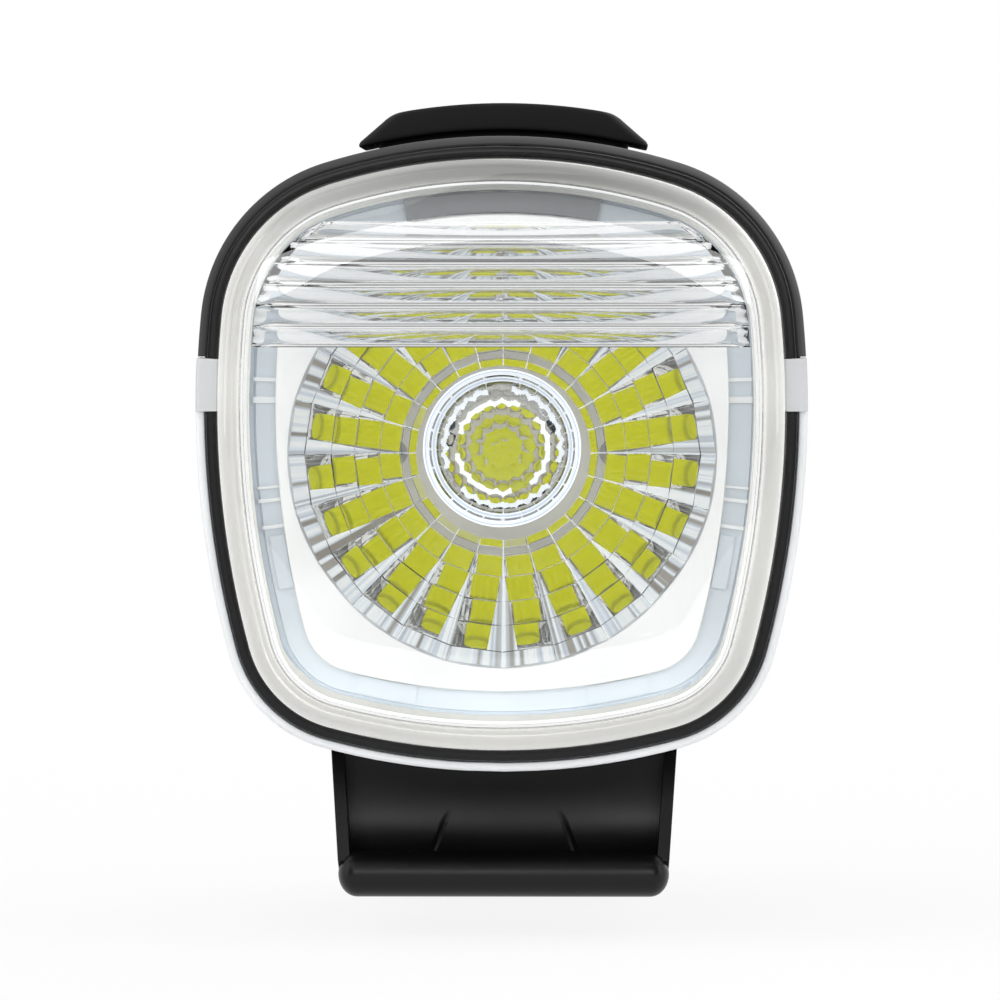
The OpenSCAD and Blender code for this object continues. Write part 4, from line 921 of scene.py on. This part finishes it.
def build_shells():
    lip = [(0.4, 0.69, 0), (0.42, 0.62, 0), (0.5, 0.55, 0), (1.5, 0.07, 0), (1.8, 0.01, 0), (2.2, 0, 0)]
    step = [(-1, LIP_IN + 0.02, 0), (FLANGE_U, LIP_IN + 0.02, 0)]
    upper, hollow, lower, void = bmesh.new(), bmesh.new(), bmesh.new(), bmesh.new()
    loft(upper, [half_loop(u, o, SPLIT_HIGH, -99, True) for u, o, _ in lip + body_rings(SHELL_U, 0)])
    loft(hollow, [half_loop(u, o, SPLIT_HIGH - 1, -99, True) for u, o, _ in step + body_rings(FLANGE_U + 0.03, WALL)])
    window = block((WINDOW_INSET - 0.3 - PAD_FOOT_W / 2, PAD_FRONT + WINDOW_INSET - 0.3, 15),
                   (PAD_FOOT_W / 2 - WINDOW_INSET + 0.3, PAD_FRONT + PAD_LEN - WINDOW_INSET + 0.3, 30))
    port = block((-PORT_HALF[0], 60, SOCKET_H - PORT_HALF[1]), (PORT_HALF[0], 70, SOCKET_H + PORT_HALF[1]))
    upper = carve(upper, hollow, window, port)
    for side in (1, -1):
        lug, hole = bmesh.new(), bmesh.new()
        profile = [(END_U - 0.5, HINGE_H - LUG_R)] + [polar((HINGE_U, HINGE_H), LUG_R, 180 - 15 * i) for i in range(13)]
        profile.append((END_U - 0.5, HINGE_H + LUG_R))
        spans = sorted((side * LUG_X, side * (LUG_X + LUG_T)))
        loft(lug, [[lamp(x, u, h) for u, h in profile] for x in spans])
        bore = [polar((HINGE_U, HINGE_H), TRUNNION_R, 15 * i) for i in range(24)]
        loft(hole, [[lamp(x, u, h) for u, h in bore] for x in (spans[0] - 1, spans[1] + 1)])
        lug = carve(lug, hole)
        part = bpy.data.meshes.new("lug")
        lug.to_mesh(part)
        lug.free()
        upper.from_mesh(part)
        bpy.data.meshes.remove(part)
    shell = piece("upper_shell_moulding", upper, BLACK_ABS, "lamp", ["upper_shell"], 34)
    loft(lower, [half_loop(u, o, SPLIT_LOW, belly_at(u) + rise, False) for u, o, rise in body_rings(SHELL_U, 0)])
    loft(void, [half_loop(u, o, SPLIT_LOW + 1, belly_at(u) + WALL + rise, False)
                for u, o, rise in body_rings(SHELL_U - 2, WALL)])
    lower = carve(lower, void, *[pin(x, u, HEAD_HOLE_R, -30, SCREW_SEAT) for x, u in BOSSES])
    for x, u in BOSSES:
        low = BODY_BOTTOM + WALL / 2
        upright(lower, x, u, ((HEAD_HOLE_R, low), (BOSS_R, low), (BOSS_R, SPLIT_LOW), (SHANK_HOLE_R, SPLIT_LOW),
                              (SHANK_HOLE_R, SCREW_SEAT), (HEAD_HOLE_R, SCREW_SEAT)))
    piece("lower_shell_moulding", lower, BLACK_ABS, "lamp", ["lower_shell"], 34)
    return shell


# Button: a soft sloped pad that follows the arch of the shell
PAD_FRONT, PAD_LEN, PAD_FOOT_W, PAD_TOP_W = 9.5, 16.5, 22.0, 16.8
PAD_RISE, PAD_GAP = 2.67, 0.75
WINDOW_INSET = 1.5
ACROSS = 18


def rounded(half_x, half_u, r, u_mid, lift, count=7):
    """A rounded rectangle lying on the arch of the shell, lifted off it."""
    top_c, top_r = ARCS[0][0], ARCS[0][1]
    points = []
    for sx, su, first in ((1, 1, 0), (1, -1, 90), (-1, -1, 180), (-1, 1, 270)):
        for i in range(count):
            x, u = polar((sx * (half_x - r), su * (half_u - r)), r, first + 90 * i / (count - 1))
            points.append((x, u))
    ring = []
    for (x, u), (nx, nu) in zip(points, points[1:] + points[:1]):
        parts = ACROSS if abs(nx - x) > 2 else 1
        ring += [(x + (nx - x) * i / parts, u + (nu - u) * i / parts) for i in range(parts)]
    return [lamp(x, u_mid + u, top_c[1] + math.sqrt(top_r ** 2 - x * x) + lift) for x, u in ring]


def build_button():
    bm = bmesh.new()
    mid = PAD_FRONT + PAD_LEN / 2
    slope = (PAD_FOOT_W - PAD_TOP_W) / 2
    foot, half_u = PAD_FOOT_W / 2, PAD_LEN / 2
    levels = [(WINDOW_INSET, -2.6), (WINDOW_INSET, PAD_GAP - 0.15), (0.15, PAD_GAP - 0.15), (0.05, PAD_GAP - 0.1),
              (0, PAD_GAP), (0, PAD_GAP + 0.1), (0.12, PAD_GAP + 0.3)]
    levels += [(slope + 1.4 * (t - 0.6), PAD_RISE - 0.55 * (1 - t) ** 2) for t in (0, 0.2, 0.4, 0.6, 0.8, 1)]
    levels += [(slope + 2.5, PAD_RISE), (slope + 5.0, PAD_RISE)]
    loft(bm, [rounded(foot - o, half_u - o * (0.45 if lift > 1.0 else 1.0), max(0.5, 1.3 - 0.1 * o), mid, lift)
              for o, lift in levels])
    return piece("button_pad", bm, BLACK_SILICONE, "button", ["power_button"], 35)


build_button()
build_shells()

# Release lever, in the frame's own millimetres
BEAD_D, BEAD_W, BEAD_Y, BEAD_Z = 3.5, 25.3, -24.0, 7.35
BEAD_END, WEB_DROP = 1.45, 0.5
HINGE_Y, HINGE_Z, EYE_R, PIN_HOLE_R = -3.0, 16.4, 2.9, 1.05
LEVER_FRONT, LEVER_BACK, LEVER_TOP = -20.2, -19.0, 20.7
CHEEK_X, CHEEK_LEAN, CHEEK_T = 12.6, 0.07, 0.95
SCOOP_DEPTH, SCOOP_CURL = 0.3, 1.3
RIB_X, RIB_LEAN, RIB_H, RIB_FADE, RIB_RISE = 5.6, 0.4, 3.4, 1.6, 0.24


def bar(points):
    return [Vector(p) * MM for p in points]


def build_lever():
    cheeks, bore = bmesh.new(), bmesh.new()
    outline = [(HINGE_Y, HINGE_Z - EYE_R), (LEVER_BACK + 1.5, BEAD_Z + 3), (BEAD_Y + 0.3, BEAD_Z + 0.2),
               (BEAD_Y - BEAD_D * 0.2, BEAD_Z + BEAD_D * 0.3), (LEVER_FRONT - 0.6, LEVER_TOP),
               (HINGE_Y, HINGE_Z + EYE_R)]
    outline += [polar((HINGE_Y, HINGE_Z), EYE_R, 12 * i) for i in range(1, 15)]
    for side in (1, -1):
        loft(cheeks, [bar([(side * (CHEEK_X + CHEEK_LEAN * (z - BEAD_Z) - t), y, z) for y, z in outline])
                      for t in (CHEEK_T, 0)])
    ring = [polar((HINGE_Y, HINGE_Z), PIN_HOLE_R, 15 * i) for i in range(24)]
    loft(bore, [bar([(x, y, z) for y, z in ring]) for x in (-20, 20)])
    bm = carve(cheeks, bore)
    scoop_low = BEAD_Z + 0.35 * BEAD_D
    heights = [BEAD_Z - WEB_DROP, scoop_low - 0.05]
    heights += [scoop_low + (LEVER_TOP - scoop_low) * k / 48 for k in range(49)]
    rows = []
    for z in heights:
        part = max(0, (z - scoop_low) / (LEVER_TOP - scoop_low))
        rib = RIB_X - RIB_LEAN * max(0, min(RIB_H, z - scoop_low))
        half = CHEEK_X + CHEEK_LEAN * (z - BEAD_Z) - CHEEK_T / 2
        sides = [rib + side for side in (-0.4, -0.3, -0.05, 0.05, 0.3, 0.4)] + [9, half]
        row = []
        for x in [-v for v in sides[::-1]] + [-2, 2] + sides:
            curl = SCOOP_CURL * (1 - part) ** 9
            y = LEVER_FRONT + SCOOP_DEPTH * math.sin(math.pi * part) - curl
            if z < scoop_low:
                y = BEAD_Y
            elif abs(abs(x) - rib) < 0.1:
                y -= RIB_RISE * max(0, min(1, (RIB_H - z + scoop_low) / RIB_FADE))
            row.append((x, y, z))
        rows.append(bar(row + [(half, LEVER_BACK, z), (-half, LEVER_BACK, z)]))
    loft(bm, rows)
    bead_r, reach = BEAD_D / 2, BEAD_W / 2
    ends = [(reach - BEAD_END * (1 - math.sin(a)), bead_r * max(0.05, math.cos(a))) for a in quarter(9)]
    profile = [(-x, r) for x, r in ends[::-1]] + ends
    loft(bm, [bar([(x, *polar((BEAD_Y, BEAD_Z), r, 9 * i)) for i in range(40)]) for x, r in profile])
    obj = piece("release_lever_moulding", bm, BLACK_NYLON, "lever", ["release_lever"], 34)
    soften(obj, 0.12, 50)
    return obj


build_lever()

# Return springs: round wire, closed against the base and squashed by the lever
SPRING_X, SPRING_Z, SPRING_BACK, SPRING_FRONT = 9.3, 9.4, -13.6, -19.0
SPRING_R, WIRE_R, TURNS = 1.4, 0.2, 4


def build_springs():
    for side, name in ((1, "right_lever_spring"), (-1, "left_lever_spring")):
        bm = bmesh.new()
        rows = []
        steps = TURNS * 24
        for i in range(steps + 1):
            a = 2 * math.pi * TURNS * i / steps
            y = SPRING_BACK - WIRE_R + (SPRING_FRONT - SPRING_BACK + 2 * WIRE_R) * i / steps
            ring = []
            for k in range(10):
                b = 2 * math.pi * k / 10
                r = SPRING_R + WIRE_R * math.cos(b)
                ring.append(Vector((side * SPRING_X + r * math.cos(a), y + WIRE_R * math.sin(b),
                                    SPRING_Z + r * math.sin(a))) * MM)
            rows.append(ring)
        loft(bm, rows)
        nodes = ["lever_springs"] if side > 0 else []
        obj = piece(name, bm, STEEL, "lamp", nodes)
        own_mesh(obj)


build_springs()

# Studio: white floor that keeps the shadow, white behind, soft lamps in front and above


def white_stage(name):
    """Paper that takes the part's shadow near it and runs out to plain white."""
    material, tree = start(name)
    place = add(tree, "ShaderNodeTexCoord").outputs["Object"]
    away = add(tree, "ShaderNodeVectorMath", {0: place}, operation="LENGTH")
    level = add(tree, "ShaderNodeMapRange", {
        "Value": away.outputs["Value"], "From Min": 0.04, "From Max": 0.3, "To Min": 0.88, "To Max": 1.0})
    lit = add(tree, "ShaderNodeBsdfDiffuse", {"Color": linear("f4f4f4")})
    glow = add(tree, "ShaderNodeEmission", {"Color": linear("ffffff"), "Strength": 1.0})
    both = add(tree, "ShaderNodeMixShader", {
        0: level.outputs["Result"], 1: lit.outputs["BSDF"], 2: glow.outputs["Emission"]})
    path = add(tree, "ShaderNodeLightPath")
    seen = path.outputs["Is Camera Ray"]
    for ray in ("Is Glossy Ray", "Is Transmission Ray"):
        seen = add(tree, "ShaderNodeMath", {0: seen, 1: path.outputs[ray]}, operation="MAXIMUM").outputs[0]
    shown = add(tree, "ShaderNodeMixShader", {0: seen, 1: lit.outputs["BSDF"], 2: both.outputs["Shader"]})
    add(tree, "ShaderNodeOutputMaterial", {"Surface": shown.outputs["Shader"]})
    return material


# The lamp hangs on a bar in use: the floor lies below the bead at the end of its travel
LEVER_TRAVEL = 2.5


def build_floor():
    bm = bmesh.new()
    half, front, z = 1.5, -0.35, cad_low.z - LEVER_TRAVEL * MM
    corners = ((-half, front), (half, front), (half, half), (-half, half))
    bm.faces.new([bm.verts.new((x, y, z)) for x, y in corners])
    mesh = bpy.data.meshes.new("studio_floor")
    bm.to_mesh(mesh)
    bm.free()
    mesh.materials.append(white_stage("white_paper_sweep"))
    floor = bpy.data.objects.new("studio_floor", mesh)
    scene.collection.objects.link(floor)
    return floor


def aim(obj, target):
    obj.rotation_mode = "QUATERNION"
    obj.rotation_quaternion = (Vector(target) - obj.location).to_track_quat("-Z", "Y")


def softbox(name, place, width, height, power):
    data = bpy.data.lights.new(name, "AREA")
    data.shape = "RECTANGLE"
    data.size, data.size_y, data.energy = width, height, power
    obj = bpy.data.objects.new(name, data)
    scene.collection.objects.link(obj)
    obj.location = place
    obj.visible_transmission = False
    aim(obj, (0, 0, AXIS_Z * MM))
    return obj


def build_world():
    world = bpy.data.worlds.new("studio_room")
    scene.world = world
    world.use_nodes = True
    tree = world.node_tree
    tree.nodes.clear()
    way = add(tree, "ShaderNodeTexCoord").outputs["Generated"]
    axes = add(tree, "ShaderNodeSeparateXYZ", {"Vector": way})
    seen = []
    for near, far, dark, light in ((-0.1, 0.2, 0.1, 1.0), (-0.99, -0.94, 0.22, 1.0)):
        level = add(tree, "ShaderNodeMapRange", {
            "Value": axes.outputs["Y"], "From Min": near, "From Max": far, "To Min": dark, "To Max": light})
        seen.append(add(tree, "ShaderNodeBackground", {"Color": level.outputs["Result"], "Strength": 1.0}))
    fill = add(tree, "ShaderNodeBackground", {"Color": linear("ffffff"), "Strength": 0.37})
    path = add(tree, "ShaderNodeLightPath")
    both = add(tree, "ShaderNodeMixShader", {0: path.outputs["Is Glossy Ray"], 1: fill.outputs["Background"],
                                             2: seen[0].outputs["Background"]})
    both = add(tree, "ShaderNodeMixShader", {0: path.outputs["Is Transmission Ray"], 1: both.outputs["Shader"],
                                             2: seen[1].outputs["Background"]})
    white = add(tree, "ShaderNodeBackground", {"Color": linear("ffffff"), "Strength": 1.0})
    shown = add(tree, "ShaderNodeMixShader",
                {0: path.outputs["Is Camera Ray"], 1: both.outputs["Shader"], 2: white.outputs["Background"]})
    add(tree, "ShaderNodeOutputWorld", {"Surface": shown.outputs["Shader"]})


build_world()
build_floor()
softbox("key_above_left", (-0.4, -0.7, 0.9), 1.0, 1.0, 4.2)
softbox("front_strip", (0.0, -0.9, 0.24), 1.0, 0.18, 2.9)
softbox("top_box", (0.0, 0.1, 0.9), 1.2, 1.0, 2.6)
softbox("rear_box", (0.5, 0.9, 0.6), 1.0, 1.0, 4.0)
softbox("left_strip", (-0.8, -0.2, 0.25), 0.3, 0.8, 1.6)
softbox("right_strip", (0.8, -0.2, 0.25), 0.3, 0.8, 1.6)

# Camera: straight at the lens, a little above it, on a long lens
VIEW_W, VIEW_DISTANCE, VIEW_RISE, VIEW_TURN = 74.9, 600, 1.5, 0.8
VIEW_CENTRE = Vector((-0.11, FACE_Y, AXIS_Z - 3.33)) * MM
lens_data = bpy.data.cameras.new("photo_camera")
lens_data.sensor_width = 36
lens_data.lens = 36 * VIEW_DISTANCE / VIEW_W
lens_data.clip_end = 20
camera = bpy.data.objects.new("photo_camera", lens_data)
scene.collection.objects.link(camera)
rise, turn = math.radians(VIEW_RISE), math.radians(VIEW_TURN)
back = Vector((math.cos(rise) * math.sin(turn), -math.cos(rise) * math.cos(turn), math.sin(rise)))
camera.location = VIEW_CENTRE + back * VIEW_DISTANCE * MM
aim(camera, VIEW_CENTRE)
scene.camera = camera
scene.view_settings.view_transform = "Standard"
